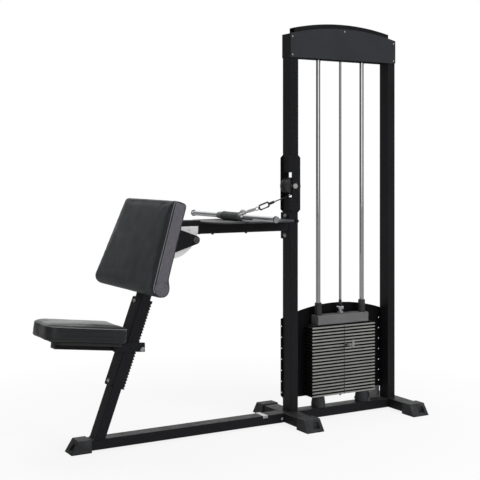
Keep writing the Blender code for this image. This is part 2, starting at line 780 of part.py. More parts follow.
def add_plates(tower, stack):
    rest = add_part("resting_plates", weight_plates(0, PLATE_COUNT - LIFTED_COUNT), "plate_coat", tower)
    cut(rest, *stack_bores(STACK_BOTTOM - CUT_PAST, LIFTED_BOTTOM + CUT_PAST))
    lifted = weight_plates(PLATE_COUNT - LIFTED_COUNT, LIFTED_COUNT)
    lifted = add_part("lifted_plates", lifted, "plate_coat", stack)
    cut(lifted, *stack_bores(LIFTED_BOTTOM - CUT_PAST, STACK_TOP + CUT_PAST))
    cut(lifted, pin_bore(-PLATE_WIDTH, PIN_DEPTH + PIN_TIP_GAP))


def pin_bore(low, high):
    return moved(rod(PIN_RADIUS + BORE_GAP, low, high, "Y", SMALL_SIDES), z=PIN_HEIGHT)


def add_lifting_gear(stack):
    half_length, half_width = HEAD_LENGTH / 2, HEAD_WIDTH / 2
    block = box((-half_length, half_length), (-half_width, half_width), (HEAD_BOTTOM, HEAD_TOP))
    head = add_part("head_plate", softened(block, 0.002), "brushed_steel", stack)
    guide = ROD_RADIUS + BORE_GAP
    cut(head, *[moved(rod(guide, HEAD_BOTTOM - CUT_PAST, HEAD_TOP + CUT_PAST), x) for x in rod_places()])

    low, high = HEAD_TOP + SEAM, HEAD_TOP + SEAM + BUSH_HEIGHT
    profile = [
        (guide, low),
        (BUSH_RADIUS, low),
        (BUSH_RADIUS, high - RIM_CHAMFER),
        (BUSH_RADIUS - RIM_CHAMFER, high),
        (guide, high),
    ]
    for end, x in zip(("front", "rear"), rod_places()):
        add_part("bush_" + end, turned(profile), "nylon", stack, (x, 0.0, 0.0))

    low, high = STACK_BOTTOM - SELECTOR_TIP, HEAD_BOTTOM - SEAM
    profile = [
        (0.0, low),
        (SELECTOR_RADIUS * 0.4, low),
        (SELECTOR_RADIUS, STACK_BOTTOM),
        (SELECTOR_RADIUS, high),
        (0.0, high),
    ]
    selector = add_part("selector_rod", turned(profile), "chrome", stack)
    cut(selector, pin_bore(-0.05, 0.05))

    low = HEAD_TOP + SEAM
    neck = low + CLEVIS_NUT_HEIGHT
    length, width, height = CLEVIS_BLOCK
    clevis = add_part("lift_clevis", rod(CLEVIS_NUT_RADIUS, low, neck, sides=6), "chrome", stack)
    block = box((-length / 2, length / 2), (-width / 2, width / 2), (CLEVIS_TOP - height, CLEVIS_TOP))
    weld(clevis, rod(CLEVIS_NECK_RADIUS, neck - 0.002, CLEVIS_TOP - height + 0.002), softened(block, 0.003))

    low = CLEVIS_TOP + SEAM
    half_depth, half_width, height = CABLE_SOCKET
    socket = softened(box((-half_depth, half_depth), (-half_width, half_width), (low, low + height)), 0.002)
    cables = add_part("lift_cables", socket, "cable_jacket", stack)
    for y in (-CABLE_OFFSET, CABLE_OFFSET):
        weld(cables, moved(rod(CABLE_RADIUS, low + height / 2, TOP_PULLEY_HEIGHT - SEAM, sides=8), y=y))


def add_selector_pin(stack):
    """The pin reaches into the selector rod, and its flat grip turns up in front of the plates."""
    pin = add_empty("pin_pull", stack, (0.0, 0.0, PIN_HEIGHT))
    front = -PLATE_WIDTH / 2 - PIN_REACH
    shaft = add_part("selector_pin", rod(PIN_RADIUS, front, PIN_DEPTH, "Y", SMALL_SIDES), "chrome", pin)
    grip = box(
        (-PIN_RADIUS * 1.4, PIN_RADIUS * 1.4),
        (front - PIN_HANDLE_THICK, front + 0.002),
        (-PIN_RADIUS * 1.4, PIN_HANDLE_HEIGHT),
    )
    weld(shaft, softened(grip, 0.0025, 2))


# Pulleys


def pulley(cable_radius, width, grooves):
    """A wheel about the Y axis with square-sided grooves for round cables."""
    rim = cable_radius + RIM_STAND
    groove = cable_radius - CABLE_RADIUS - GROOVE_GAP
    reach = CABLE_RADIUS + BORE_GAP
    bore = AXLE_RADIUS + BORE_GAP
    chamfer = PULLEY_CHAMFER
    profile = [(bore, -width / 2), (rim - chamfer, -width / 2), (rim, -width / 2 + chamfer)]
    for middle in grooves:
        profile += [
            (rim, middle - reach),
            (groove, middle - reach),
            (groove, middle + reach),
            (rim, middle + reach),
        ]
    profile += [(rim, width / 2 - chamfer), (rim - chamfer, width / 2), (bore, width / 2)]
    return turned(profile, "Y")


def axle(half, x, z, head_radius=AXLE_HEAD_RADIUS):
    """A shaft along Y between two outer faces, and a hexagonal head for each."""
    inner, outer = half - SEAM, half + AXLE_HEAD_HEIGHT
    shaft = rod(AXLE_RADIUS, -inner - 0.002, inner + 0.002, "Y", SMALL_SIDES)
    heads = [rod(head_radius, low, high, "Y", 6) for low, high in ((-outer, -inner), (inner, outer))]
    return [moved(shape, x, z=z) for shape in (shaft, *heads)]


def add_pulleys(machine):
    both = (-CABLE_OFFSET, CABLE_OFFSET)
    wide = pulley(PULLEY_CABLE_RADIUS, TOWER_PULLEY_WIDTH, both)
    add_part("tower_pulley", wide, "nylon", machine, (0.0, 0.0, TOWER_PULLEY_HEIGHT))
    for name, x in (("top_pulley_front", FRONT_PULLEY_X), ("top_pulley_stack", STACK_PULLEY_X)):
        wheel = pulley(PULLEY_CABLE_RADIUS, TOP_PULLEY_WIDTH, both)
        add_part(name, wheel, "nylon", machine, (x, 0.0, TOP_PULLEY_HEIGHT))
    small = (
        ("beam_pulley", BEAM_PULLEY_CABLE_RADIUS, BEAM_PULLEY_X, BEAM_PULLEY_HEIGHT),
        ("table_end_pulley", END_PULLEY_CABLE_RADIUS, -END_PULLEY_X, END_PULLEY_HEIGHT),
    )
    for name, radius, x, z in small:
        wheel = pulley(radius, SMALL_PULLEY_WIDTH, (0.0,))
        add_part(name, wheel, "nylon", machine, (x, CABLE_OFFSET, z))

    plate_face = HALF_WIDTH + SEAM + PULLEY_PLATE_THICK + 2 * SEAM
    shaft, *heads = axle(plate_face, 0.0, TOWER_PULLEY_HEIGHT, TOWER_AXLE_HEAD_RADIUS)
    weld(add_part("tower_axle", shaft, "zinc", machine), *heads)


def add_pulley_plates(machine):
    half, chamfer = PULLEY_PLATE_WIDTH / 2, PULLEY_PLATE_CHAMFER
    low, high = PULLEY_PLATE_BOTTOM, PULLEY_PLATE_TOP
    outline = [
        (-half, low + chamfer),
        (-half + chamfer, low),
        (half - chamfer, low),
        (half, low + chamfer),
        (half, high - chamfer),
        (half - chamfer, high),
        (-half + chamfer, high),
        (-half, high - chamfer),
    ]
    for side, low, high in both_sides(HALF_WIDTH + SEAM, PULLEY_PLATE_THICK):
        plate = add_part("pulley_plate_" + side, prism(outline, low, high, "Y"), "powder_coat", machine)
        bore = rod(AXLE_RADIUS + BORE_GAP, low - CUT_PAST, high + CUT_PAST, "Y")
        cut(plate, moved(bore, z=TOWER_PULLEY_HEIGHT), *opened_corners(HALF_WIDTH + 2 * PULLEY_PLATE_THICK))


# Cables round the pulleys


def along(points, y):
    return [(x, y, z) for x, z in points]


def over_the_top():
    """Both cables cross the two top pulleys, from the stack to behind the front upright."""
    quarter = math.pi / 2
    stack_wheel = arc((STACK_PULLEY_X, TOP_PULLEY_HEIGHT), PULLEY_CABLE_RADIUS, 0.0, quarter, 8)
    front_wheel = arc((FRONT_PULLEY_X, TOP_PULLEY_HEIGHT), PULLEY_CABLE_RADIUS, quarter, 2 * quarter, 8)
    return stack_wheel + front_wheel


def curl_cable_exit():
    """The last point of the curl cable on the tower pulley, and its direction from there."""
    down = CURL_CABLE_ANGLE
    x = PULLEY_CABLE_RADIUS * math.cos(down)
    z = TOWER_PULLEY_HEIGHT - PULLEY_CABLE_RADIUS * math.sin(down)
    return (x, z), (-math.sin(down), -math.cos(down))


def curl_slot_exit():
    (x, z), (dx, dz) = curl_cable_exit()
    reach = (-HALF_DEPTH - SEAM - x) / dx
    return x + dx * reach, z + dz * reach


def add_tower_cables(machine):
    tower = (0.0, TOWER_PULLEY_HEIGHT)
    curl = over_the_top() + arc(tower, PULLEY_CABLE_RADIUS, 0.0, -CURL_CABLE_ANGLE, 6) + [curl_slot_exit()]
    quarter = math.pi / 2
    press = over_the_top()
    press += arc((BEAM_PULLEY_X, BEAM_PULLEY_HEIGHT), BEAM_PULLEY_CABLE_RADIUS, 0.0, -quarter, 8)
    press += arc((-END_PULLEY_X, END_PULLEY_HEIGHT), END_PULLEY_CABLE_RADIUS, -quarter, -2 * quarter, 8)
    add_cable("curl_cable", along(curl, -CABLE_OFFSET), machine)
    add_cable("press_cable", along(press, CABLE_OFFSET), machine)


# Table


def add_table(machine):
    """The beam with its flange and end plate, the table plate on it and the bridge to the post."""
    middle = BEAM_BOTTOM + BEAM_HEIGHT / 2
    bridge_top = BRIDGE_BOTTOM + BRIDGE_HEIGHT
    flange_face = -HALF_DEPTH - SEAM - FLANGE_THICK
    tube_ends = (-BEAM_END - END_PLATE_THICK / 2, flange_face + FLANGE_THICK / 2)
    tube = box_tube(BASE_WIDTH, BEAM_HEIGHT, *tube_ends, "X", (0.0, middle))
    beam = add_part("table_beam", tube, "powder_coat", machine)
    half, end_half = FLANGE_WIDTH / 2, BASE_WIDTH / 2
    flange_bottom = BEAM_BOTTOM - FLANGE_BELOW_BEAM
    flange_top = BEAM_BOTTOM + BEAM_HEIGHT + FLANGE_ABOVE_BEAM
    flange = rounded(rectangle(-half, half, flange_bottom, flange_top), 0.004, 2)
    end_plate = rectangle(-end_half - 0.001, end_half + 0.001, BEAM_BOTTOM - 0.001, bridge_top)
    weld(
        beam,
        prism(flange, flange_face, flange_face + FLANGE_THICK, "X"),
        prism(end_plate, -BEAM_END - END_PLATE_THICK, -BEAM_END, "X"),
    )
    past_plate = (-BEAM_END - END_PLATE_THICK - CUT_PAST, -BEAM_END + CUT_PAST)
    past_flange = (flange_face - CUT_PAST, -HALF_DEPTH + CUT_PAST)
    cut(beam, press_cable_bore(*past_plate), press_cable_bore(*past_flange))

    top_low = BEAM_BOTTOM + BEAM_HEIGHT + SEAM
    plan = rectangle(-TABLE_FAR_END, -TABLE_NEAR_END, -TABLE_HALF_WIDTH, TABLE_HALF_WIDTH)
    add_part("table_top", prism(rounded(plan, TABLE_CORNER, 8), top_low, TABLE_TOP), "powder_coat", machine)

    bridge_ends = (-BRIDGE_END, -BEAM_END - END_PLATE_THICK - SEAM)
    bridge_middle = BRIDGE_BOTTOM + BRIDGE_HEIGHT / 2
    bridge = box_tube(BASE_WIDTH, BRIDGE_HEIGHT, *bridge_ends, "X", (0.0, bridge_middle))
    bridge = add_part("post_bridge", bridge, "powder_coat", machine)
    slot_x = (-END_PULLEY_X - BRIDGE_SLOT_HALF_LENGTH, -END_PULLEY_X + BRIDGE_SLOT_HALF_LENGTH)
    slot_y = (-BRIDGE_SLOT_HALF_WIDTH, BRIDGE_SLOT_HALF_WIDTH)
    cut(bridge, box(slot_x, slot_y, (BRIDGE_BOTTOM - CUT_PAST, bridge_top + CUT_PAST)))
    weld(bridge, *axle(HALF_WIDTH, -END_PULLEY_X, END_PULLEY_HEIGHT))


def add_guards(machine):
    """Two half-disc sheets beside the post's head, level with it and notched round the cross tube."""
    centre = (-GUARD_CENTRE_X, BRIDGE_BOTTOM - SEAM)
    rim = arc(centre, GUARD_RADIUS, 0.0, -GUARD_SWEEP, 14)
    outline = rim + [(-BRIDGE_END, centre[1])]
    x, z = CROSS_TUBE_PLACE
    for side, low, high in both_sides(HALF_WIDTH + SEAM, GUARD_THICK):
        disc = add_part("guard_" + side, prism(outline, low, high, "Y"), "pale_sheet", machine)
        cut(disc, moved(rod(CROSS_TUBE_RADIUS + SEAM, low - CUT_PAST, high + CUT_PAST, "Y"), x, z=z))


def gusset_back(height):
    """X of the gussets' back edge at a height above the floor, halfway into the plate on the pad board."""
    back = BOARD_BACK + SEAM + BRACKET_PLATE_THICK / 2
    rise = height - BASE_TOP
    return POST_BASE_X + (back + rise * math.sin(POST_TILT)) / math.cos(POST_TILT)


def up_the_post(height):
    """How far up the post the pad board's back face reaches a height above the floor."""
    return (height - BASE_TOP) / math.cos(POST_TILT) + BOARD_BACK * math.tan(POST_TILT)


def add_pad_bracket(machine):
    """A cross tube with two triangular gussets on it, which end in a plate against the pad board."""
    x, z = CROSS_TUBE_PLACE
    tube = rod(CROSS_TUBE_RADIUS, -CROSS_TUBE_HALF, CROSS_TUBE_HALF, "Y")
    bracket = add_part("pad_bracket", moved(tube, x, z=z), "powder_coat", machine)
    nose = arc((x, z), GUSSET_COLLAR, math.radians(-75), math.radians(65), 6)
    outline = [(gusset_back(GUSSET_LOW), GUSSET_LOW)] + nose + [(gusset_back(GUSSET_HIGH), GUSSET_HIGH)]
    for _, low, high in both_sides(GUSSET_OFFSET, GUSSET_THICK):
        weld(bracket, prism(outline, low, high, "Y"))
    reach = GUSSET_OFFSET + GUSSET_THICK / 2
    face = BOARD_BACK + SEAM
    ends = [up_the_post(height) for height in BRACKET_PLATE]
    plate = tilted(box((face, face + BRACKET_PLATE_THICK), (-reach, reach), ends), POST_TILT)
    weld(bracket, moved(plate, POST_BASE_X, z=BASE_TOP))
    past = CROSS_TUBE_HALF + CUT_PAST
    cut(bracket, moved(rod(CROSS_TUBE_RADIUS - CROSS_TUBE_WALL, -past, past, "Y"), x, z=z))


# Slanted post and what it carries, in the post's own frame: +Z runs up along it


def add_post(machine):
    """The tube leans by its tilt, and both of its ends are cut level."""
    lean = math.tan(POST_TILT)
    level_depth = UPRIGHT_DEPTH / math.cos(POST_TILT)
    level_wall = TUBE_WALL / math.cos(POST_TILT)
    half = level_depth / 2
    outer = rounded(rectangle(-half, half, -HALF_WIDTH, HALF_WIDTH), TUBE_CORNER)
    inner_width = HALF_WIDTH - TUBE_WALL
    inner = rounded(
        rectangle(-half + level_wall, half - level_wall, -inner_width, inner_width), TUBE_CORNER - TUBE_WALL
    )
    tube = prism(outer, SEAM, POST_TOP - BASE_TOP, "Z", inner)
    for vert in tube.verts:
        vert.co.x += vert.co.z * lean
    add_part("seat_post", tube, "powder_coat", machine, (POST_BASE_X, 0.0, BASE_TOP))


def rack_outline():
    """Square teeth on the rack's back edge."""
    low, high = STRIP_LOW, STRIP_LOW + STRIP_LENGTH
    front = HALF_DEPTH + SEAM
    tip = HALF_DEPTH + RACK_DEPTH
    root = tip - RACK_TOOTH
    count = int(STRIP_LENGTH / RACK_PITCH)
    outline = [(front, low)]
    for k in range(count):
        start = low + k * RACK_PITCH
        outline += [
            (tip, start),
            (tip, start + RACK_PITCH / 2),
            (root, start + RACK_PITCH / 2),
            (root, start + RACK_PITCH),
        ]
    outline[-2:] = [(tip, high), (front, high)]
    return outline


def add_post_rails(post):
    face = -HALF_DEPTH - SEAM
    half = STRIP_WIDTH / 2
    outline = rounded(rectangle(-half, half, STRIP_LOW, STRIP_TOP), STRIP_CORNER)
    add_part("post_guide_strip", prism(outline, face - STRIP_THICK, face, "X"), "powder_coat", post)
    rack_half = RACK_WIDTH / 2
    add_part("post_rack", prism(rack_outline(), -rack_half, rack_half, "Y"), "powder_coat", post)


def pad_half_width(height):
    share = (height - PAD_LOW) / (PAD_TOP - PAD_LOW)
    return PAD_HALF_BOTTOM + (PAD_HALF_TOP - PAD_HALF_BOTTOM) * share


def pad_section(inset, crown):
    """The pad's side outline in (x, z): flat back, crowned face, and a roll along the bottom edge."""
    front, back, top = PAD_FRONT + inset, PAD_BACK - inset, PAD_TOP - inset
    roll = PAD_ROLL_RADIUS - inset
    roll_centre = (PAD_FRONT + PAD_ROLL_RADIUS, PAD_LOW + PAD_ROLL_RADIUS)
    roll_back = PAD_BACK + PAD_ROLL_BACK - inset
    side_face = [(front, roll_centre[1])]
    rise = top - PAD_TOP_CORNER - roll_centre[1]
    for k in range(1, PAD_FACE_STEPS + 1):
        share = k / PAD_FACE_STEPS
        side_face.append((front - crown * math.sin(math.pi * share), roll_centre[1] + rise * share))
    corner = PAD_TOP_CORNER
    top_edge = arc((front + corner, top - corner), corner, math.pi, math.pi / 2, 3)[1:]
    top_edge += arc((back - PAD_BACK_CORNER, top - PAD_BACK_CORNER), PAD_BACK_CORNER, math.pi / 2, 0.0, 2)
    waist = PAD_LOW + 2 * PAD_ROLL_RADIUS + PAD_WAIST
    widest = roll_centre[1]
    back_edge = [
        (back, waist + 3 * PAD_WAIST),
        (back, waist),
        (back + (roll_back - back) * 0.35, waist - 2 * PAD_WAIST),
        (roll_back - PAD_WAIST / 5, widest + 2 * PAD_WAIST),
        (roll_back, widest),
    ]
    under = []
    for k in range(1, PAD_ROLL_STEPS):
        turn = -math.pi * k / PAD_ROLL_STEPS
        reach = (roll_back - front) / 2
        under.append(((roll_back + front) / 2 + reach * math.cos(turn), widest + roll * math.sin(turn)))
    return side_face + top_edge + back_edge + under


def add_arm_pad(post):
    """An upholstered wedge, wider at its foot, with a rounded rim at both sides."""
    near_half = [
        (-1.0, PAD_EDGE, 0.0),
        (-1.0, PAD_EDGE * 0.35, PAD_EDGE * 0.3),
        (-1.0, 0.0, PAD_EDGE),
        (-0.55, 0.0, 0.0),
    ]
    far_half = [(-side, inset, inward) for side, inset, inward in reversed(near_half)]
    rings = []
    for side, inset, inward in near_half + [(0.0, 0.0, 0.0)] + far_half:
        section = pad_section(inset, PAD_CROWN * (1 - side**2))
        rings.append([(x, side * (pad_half_width(z) - inward), z) for x, z in section])
    add_part("arm_pad", lofted(rings), "upholstery", post)

    low, high = PAD_LOW + 2 * PAD_ROLL_RADIUS + 2 * PAD_WAIST, PAD_TOP - PAD_BOARD_INSET
    wide, narrow = pad_half_width(low) - PAD_BOARD_INSET, pad_half_width(high) - PAD_BOARD_INSET
    plan = [(-wide, low), (wide, low), (narrow, high), (-narrow, high)]
    board = prism(rounded(plan, PAD_BOARD_CORNER), PAD_BACK + SEAM, BOARD_BACK, "X")
    add_part("arm_pad_board", board, "plywood", post)


# Seat, in a frame that slides along the post


def in_seat_frame(point, seat_place):
    return point[0] - seat_place[0], point[1] - seat_place[2]


def add_seat(machine):
    """The carriage clasps the post. The seat beam, board and pad hang on a frame with the seat's tilt."""
    place = (
        POST_BASE_X + SEAT_UP_POST * math.sin(POST_TILT),
        0.0,
        BASE_TOP + SEAT_UP_POST * math.cos(POST_TILT),
    )
    slide = add_empty("seat_adjust", machine, place)
    left, right = CARRIAGE_LEFT, CARRIAGE_RIGHT
    top_left, top_right = CARRIAGE_LOW_LEFT + CARRIAGE_TALL_LEFT, CARRIAGE_LOW_RIGHT + CARRIAGE_TALL
    middle = left + (right - left) * 0.45
    corners = [
        (left, CARRIAGE_LOW_LEFT),
        (right, CARRIAGE_LOW_RIGHT),
        (right, top_right),
        (middle, top_right + 0.009),
        (middle - 0.036, top_left + 0.003),
        (left, top_left),
    ]
    corners = [in_seat_frame(point, place) for point in corners]
    outline = rounded(corners, [0.004, 0.004, 0.004, 0.030, 0.020, 0.003])
    inner = HALF_WIDTH + SLIDE_GAP
    outer = inner + CARRIAGE_PLATE
    carriage = add_part("seat_carriage", prism(outline, -outer, -inner, "Y"), "powder_coat", slide)
    weld(carriage, prism(outline, inner, outer, "Y"))
    front = -HALF_DEPTH - SEAM - STRIP_THICK - SLIDE_GAP
    cross = box((front - CARRIAGE_CROSS, front), (-outer + 0.001, outer - 0.001), (-0.022, 0.026))
    weld(carriage, tilted(cross, POST_TILT))
    pin_x, pin_z = in_seat_frame(LOCK_PIN_PLACE, place)
    cut(carriage, moved(rod(LOCK_PIN_RADIUS * 0.6 + BORE_GAP, -2 * outer, 2 * outer, "Y"), pin_x, z=pin_z))

    low, high = outer + SEAM, outer + SEAM + LOCK_PIN_HEAD
    profile = [
        (0.0, -high),
        (LOCK_PIN_RADIUS * 0.8, -high),
        (LOCK_PIN_RADIUS, -high + 0.003),
        (LOCK_PIN_RADIUS, -low),
        (LOCK_PIN_RADIUS * 0.6, -low),
        (LOCK_PIN_RADIUS * 0.6, low),
        (LOCK_PIN_RADIUS * 0.8, low),
        (LOCK_PIN_RADIUS * 0.8, high),
        (0.0, high),
    ]
    add_part("seat_lock_pin", turned(profile, "Y"), "chrome", slide, (pin_x, 0.0, pin_z))

    centre_x, centre_z = in_seat_frame(SEAT_CENTRE, place)
    weld_seat_beam(carriage, (centre_x, centre_z), front - CARRIAGE_CROSS / 2)
    add_seat_cushion(add_empty("seat_tilt", slide, (centre_x, 0.0, centre_z), SEAT_TILT))


def weld_seat_beam(carriage, centre, cross_face):
    """A square tube under the seat board, cut slanting where it meets the carriage's cross plate."""
    high = SEAT_BEAM_TOP
    low = high - SEAT_BEAM_HEIGHT
    middle = (0.0, (low + high) / 2)
    beam = box_tube(SEAT_BEAM_WIDTH, SEAT_BEAM_HEIGHT, -SEAT_BEAM_FRONT, SEAT_BEAM_UNCUT_END, "X", middle)
    beam = moved(tilted(beam, SEAT_TILT), centre[0], z=centre[1])
    lean = Matrix.Rotation(POST_TILT, 3, "Y")
    cut_plane = bmesh.ops.bisect_plane(
        beam,
        geom=beam.verts[:] + beam.edges[:] + beam.faces[:],
        plane_co=lean @ Vector((cross_face, 0.0, 0.0)),
        plane_no=lean @ Vector((1.0, 0.0, 0.0)),
        clear_outer=True,
    )["geom_cut"]
    rim = [item for item in cut_plane if isinstance(item, bmesh.types.BMEdge)]
    bmesh.ops.bridge_loops(beam, edges=rim)
    weld(carriage, beam)


def seat_corners(inset):
    """Big rounds at the outer end, tighter ones beside the post."""
    far, near = max(SEAT_CORNER - inset, 0.012), max(SEAT_POST_CORNER - inset, 0.010)
    return [far, near, near, far]


def seat_ring(height, inset, draw):
    """The seat's plan outline at one height, with its sides drawn in between the corners."""
    half_length, half_width = SEAT_LENGTH / 2 - inset, SEAT_WIDTH / 2 - inset
    plan = []
    corners = rectangle(-half_length, half_length, -half_width, half_width)
    reach_x, reach_y = half_length - draw, half_width - draw
    middles = [(0.0, -reach_y), (reach_x, 0.0), (0.0, reach_y), (-reach_x, 0.0)]
    arcs = rounded(corners, seat_corners(inset))
    count = len(arcs) // 4
    for k in range(4):
        plan += arcs[k * count : (k + 1) * count] + [middles[k]]
    return [(x, y, height) for x, y in plan]


def add_seat_cushion(tilt):
    """A crowned pad with a rolled rim and a seam below it, on a plain board."""
    top = SEAT_THICK
    rings = [
        seat_ring(0.0, 0.008, SEAT_DRAW),
        seat_ring(0.006, 0.001, SEAT_DRAW),
        seat_ring(top * 0.5, 0.0, SEAT_DRAW / 2),
        seat_ring(top - 0.014, 0.001, SEAT_DRAW),
        seat_ring(top - 0.006, 0.006, SEAT_DRAW),
        seat_ring(top, 0.016, SEAT_DRAW),
        seat_ring(top + SEAT_CROWN * 0.6, 0.050, 0.0),
        seat_ring(top + SEAT_CROWN, 0.095, 0.0),
    ]
    add_part("seat_pad", lofted(rings), "upholstery", tilt)
    half_length, half_width = SEAT_LENGTH / 2 - SEAT_BOARD_INSET, SEAT_WIDTH / 2 - SEAT_BOARD_INSET
    plan = rectangle(-half_length, half_length, -half_width, half_width)
    board = prism(rounded(plan, seat_corners(SEAT_BOARD_INSET)), -SEAM - SEAT_BOARD_THICK, -SEAM)
    add_part("seat_board", board, "plywood", tilt)


# Curl handle, in a frame at the bar's middle whose +X runs up along its chain


def add_handle(machine):
    pivot = add_empty("handle_swing", machine, (HANDLE_PIVOT[0], 0.0, HANDLE_PIVOT[1]))
    to_bar = (BAR_X - HANDLE_PIVOT[0], 0.0, BAR_HEIGHT - HANDLE_PIVOT[1])
    bar = add_empty("bar_middle", pivot, to_bar)
    top = BAR_HALF + BAR_CAP_LENGTH
    half = [
        (BAR_RADIUS, BAR_HALF),
        (BAR_CAP_RADIUS, BAR_HALF),
        (BAR_CAP_RADIUS, top - RIM_CHAMFER),
        (BAR_CAP_RADIUS - RIM_CHAMFER, top),
        (0.0, top),
    ]
    profile = [(radius, -height) for radius, height in reversed(half)] + half
    add_part("handle_bar", turned(profile, "Y"), "chrome", bar)
    bore = BAR_RADIUS + BORE_GAP
    profile = [
        (bore, -SLEEVE_HALF),
        (SLEEVE_RADIUS - RIM_CHAMFER, -SLEEVE_HALF),
        (SLEEVE_RADIUS, -SLEEVE_HALF + RIM_CHAMFER),
        (SLEEVE_RADIUS, SLEEVE_HALF - RIM_CHAMFER),
        (SLEEVE_RADIUS - RIM_CHAMFER, SLEEVE_HALF),
        (bore, SLEEVE_HALF),
    ]
    add_part("handle_sleeve", turned(profile, "Y"), "rubber", bar)

    chain = add_empty("chain_line", bar, tilt=-CHAIN_RISE)
    weld(add_part("handle_link", swivel(), "zinc", chain), *link_and_ring())
    add_clip_and_ferrule(bar)


def swivel():
    """A round swivel on a short neck that starts at the sleeve."""
    neck_start = SLEEVE_RADIUS + SEAM
    far = LINK_START + LINK_WIDTH / 4
    profile = [
        (0.0, neck_start),
        (0.010, neck_start),
        (0.010, SWIVEL_PLACE - SWIVEL_RADIUS * 0.85),
    ]
    profile += [
        (SWIVEL_RADIUS * math.sin(turn), SWIVEL_PLACE - SWIVEL_RADIUS * math.cos(turn))
        for turn in (math.radians(55), math.radians(90), math.radians(125), math.radians(155))
    ]
    profile += [(0.006, far), (0.0, far)]
    return turned(profile, "X")


def link_and_ring():
    """A flat link with round ends, and a small ring at its far end."""
    middle = LINK_START + LINK_LENGTH / 2
    half = LINK_WIDTH / 2
    reach = LINK_LENGTH / 2 - half
    outline = arc((middle + reach, 0.0), half, -math.pi / 2, math.pi / 2, 6)
    outline += arc((middle - reach, 0.0), half, math.pi / 2, 3 * math.pi / 2, 6)
    link = prism(outline, -LINK_THICK / 2, LINK_THICK / 2, "Y")
    ring = moved(hoop(RING_RADIUS, RING_WIRE, 16), LINK_START + LINK_LENGTH + RING_RADIUS)
    return link, ring


def clip_line():
    """Start of the clip in the bar's frame, and the slope from there to the slot in the upright."""
    reach = LINK_START + LINK_LENGTH + 2 * RING_RADIUS + RING_WIRE + SEAM
    start = (reach * math.cos(CHAIN_RISE), reach * math.sin(CHAIN_RISE))
    slot = curl_slot_exit()
    end = (slot[0] - BAR_X, slot[1] - BAR_HEIGHT)
    return start, end


def add_clip_and_ferrule(bar):
    """A long clip, the ferrule and the free end of the curl cable, all on one line to the slot."""
    start, end = clip_line()
    run = Vector((end[0] - start[0], end[1] - start[1]))
    line = add_empty("cable_line", bar, (start[0], 0.0, start[1]), -math.atan2(run.y, run.x))
    half, end_round = CLIP_WIDTH / 2, CLIP_WIDTH * 0.35
    outer = rounded(rectangle(0.0, CLIP_LENGTH, -half, half), end_round)
    wire = 2 * CLIP_WIRE
    inner = rounded(rectangle(wire, CLIP_LENGTH - wire, -half + wire, half - wire), end_round - wire / 2)
    clip = prism(outer, -CLIP_WIRE, CLIP_WIRE, "Y", inner)
    add_part("carabiner", clip, "zinc", line)

    low = CLIP_LENGTH + SEAM
    high = low + FERRULE_LENGTH
    profile = [
        (0.0, low),
        (FERRULE_RADIUS - RIM_CHAMFER, low),
        (FERRULE_RADIUS, low + RIM_CHAMFER),
        (FERRULE_RADIUS, high),
        (0.0, high),
    ]
    add_part("cable_ferrule", turned(profile, "X", SMALL_SIDES), "nylon", line)
    cable_start, cable_end = high + SEAM, run.length - SEAM
    points = []
    for k in range(HANDLE_CABLE_STEPS + 1):
        share = k / HANDLE_CABLE_STEPS
        points.append((cable_start + (cable_end - cable_start) * share, -CABLE_OFFSET * share, 0.0))
    add_cable("handle_cable", points, line)


# Press-down end behind the arm pad


def add_press_end(machine):
    """The second cable comes up through the bridge and waits there with a ring."""
    press = add_empty("triceps_pull", machine, (PRESS_X, CABLE_OFFSET, END_PULLEY_HEIGHT))
    low = PRESS_CABLE_STUB
    high = low + PRESS_FERRULE_LENGTH
    radius = PRESS_FERRULE_RADIUS
    profile = [
        (0.0, SEAM),
        (CABLE_RADIUS, SEAM),
        (CABLE_RADIUS, low),
        (radius, low + 0.006),
        (radius, high),
        (0.0, high),
    ]
    end = add_part("press_ring", turned(profile, "Z", SMALL_SIDES), "zinc", press)
    weld(end, moved(hoop(PRESS_RING_RADIUS, PRESS_RING_WIRE), z=high + PRESS_RING_RADIUS))


def centre_over_origin(machine):
    """Slides the machine along X so that its footprint is centred."""
    bpy.context.view_layer.update()
    meshes = [obj for obj in bpy.data.objects if obj.type == "MESH" and not obj.hide_render]
    reach = [(obj.matrix_world @ vert.co).x for obj in meshes for vert in obj.data.vertices]
    machine.location.x = -(min(reach) + max(reach)) / 2
    print("front upright's axis at X", round(machine.location.x, 5))


def main():
    clear_scene()
    machine = add_empty("machine")
    tower = add_empty("stack_line", machine, (STACK_X, 0.0, 0.0))
    stack = add_empty("stack_lift", tower)
    post = add_empty("post_line", machine, (POST_BASE_X, 0.0, BASE_TOP), POST_TILT)
    add_base(machine)
    add_uprights(machine)
    add_top_beam(machine)
    add_covers(machine)
    add_shroud(machine)
    add_rods(tower)
    add_plates(tower, stack)
    add_lifting_gear(stack)
    add_selector_pin(stack)
    add_pulleys(machine)
    add_pulley_plates(machine)
    add_tower_cables(machine)
    add_table(machine)
    add_guards(machine)
    add_pad_bracket(machine)
    add_post(machine)
    add_post_rails(post)
    add_arm_pad(post)
    add_seat(machine)
    add_handle(machine)
    add_press_end(machine)
    centre_over_origin(machine)


main()
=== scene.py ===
"""Biceps triceps machine, dressed for pictures: finishes, pads, single weight plates, cables and fasteners.

Metres, +Z up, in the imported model's own frame. +X runs from the seat to the weight tower, and +Y across the
machine, away from the photographer. Every new piece is made in place, so its object stays at the origin.
"""

import json
import math

import bmesh
import bpy
from mathutils import Matrix, Vector
from mathutils.bvhtree import BVHTree


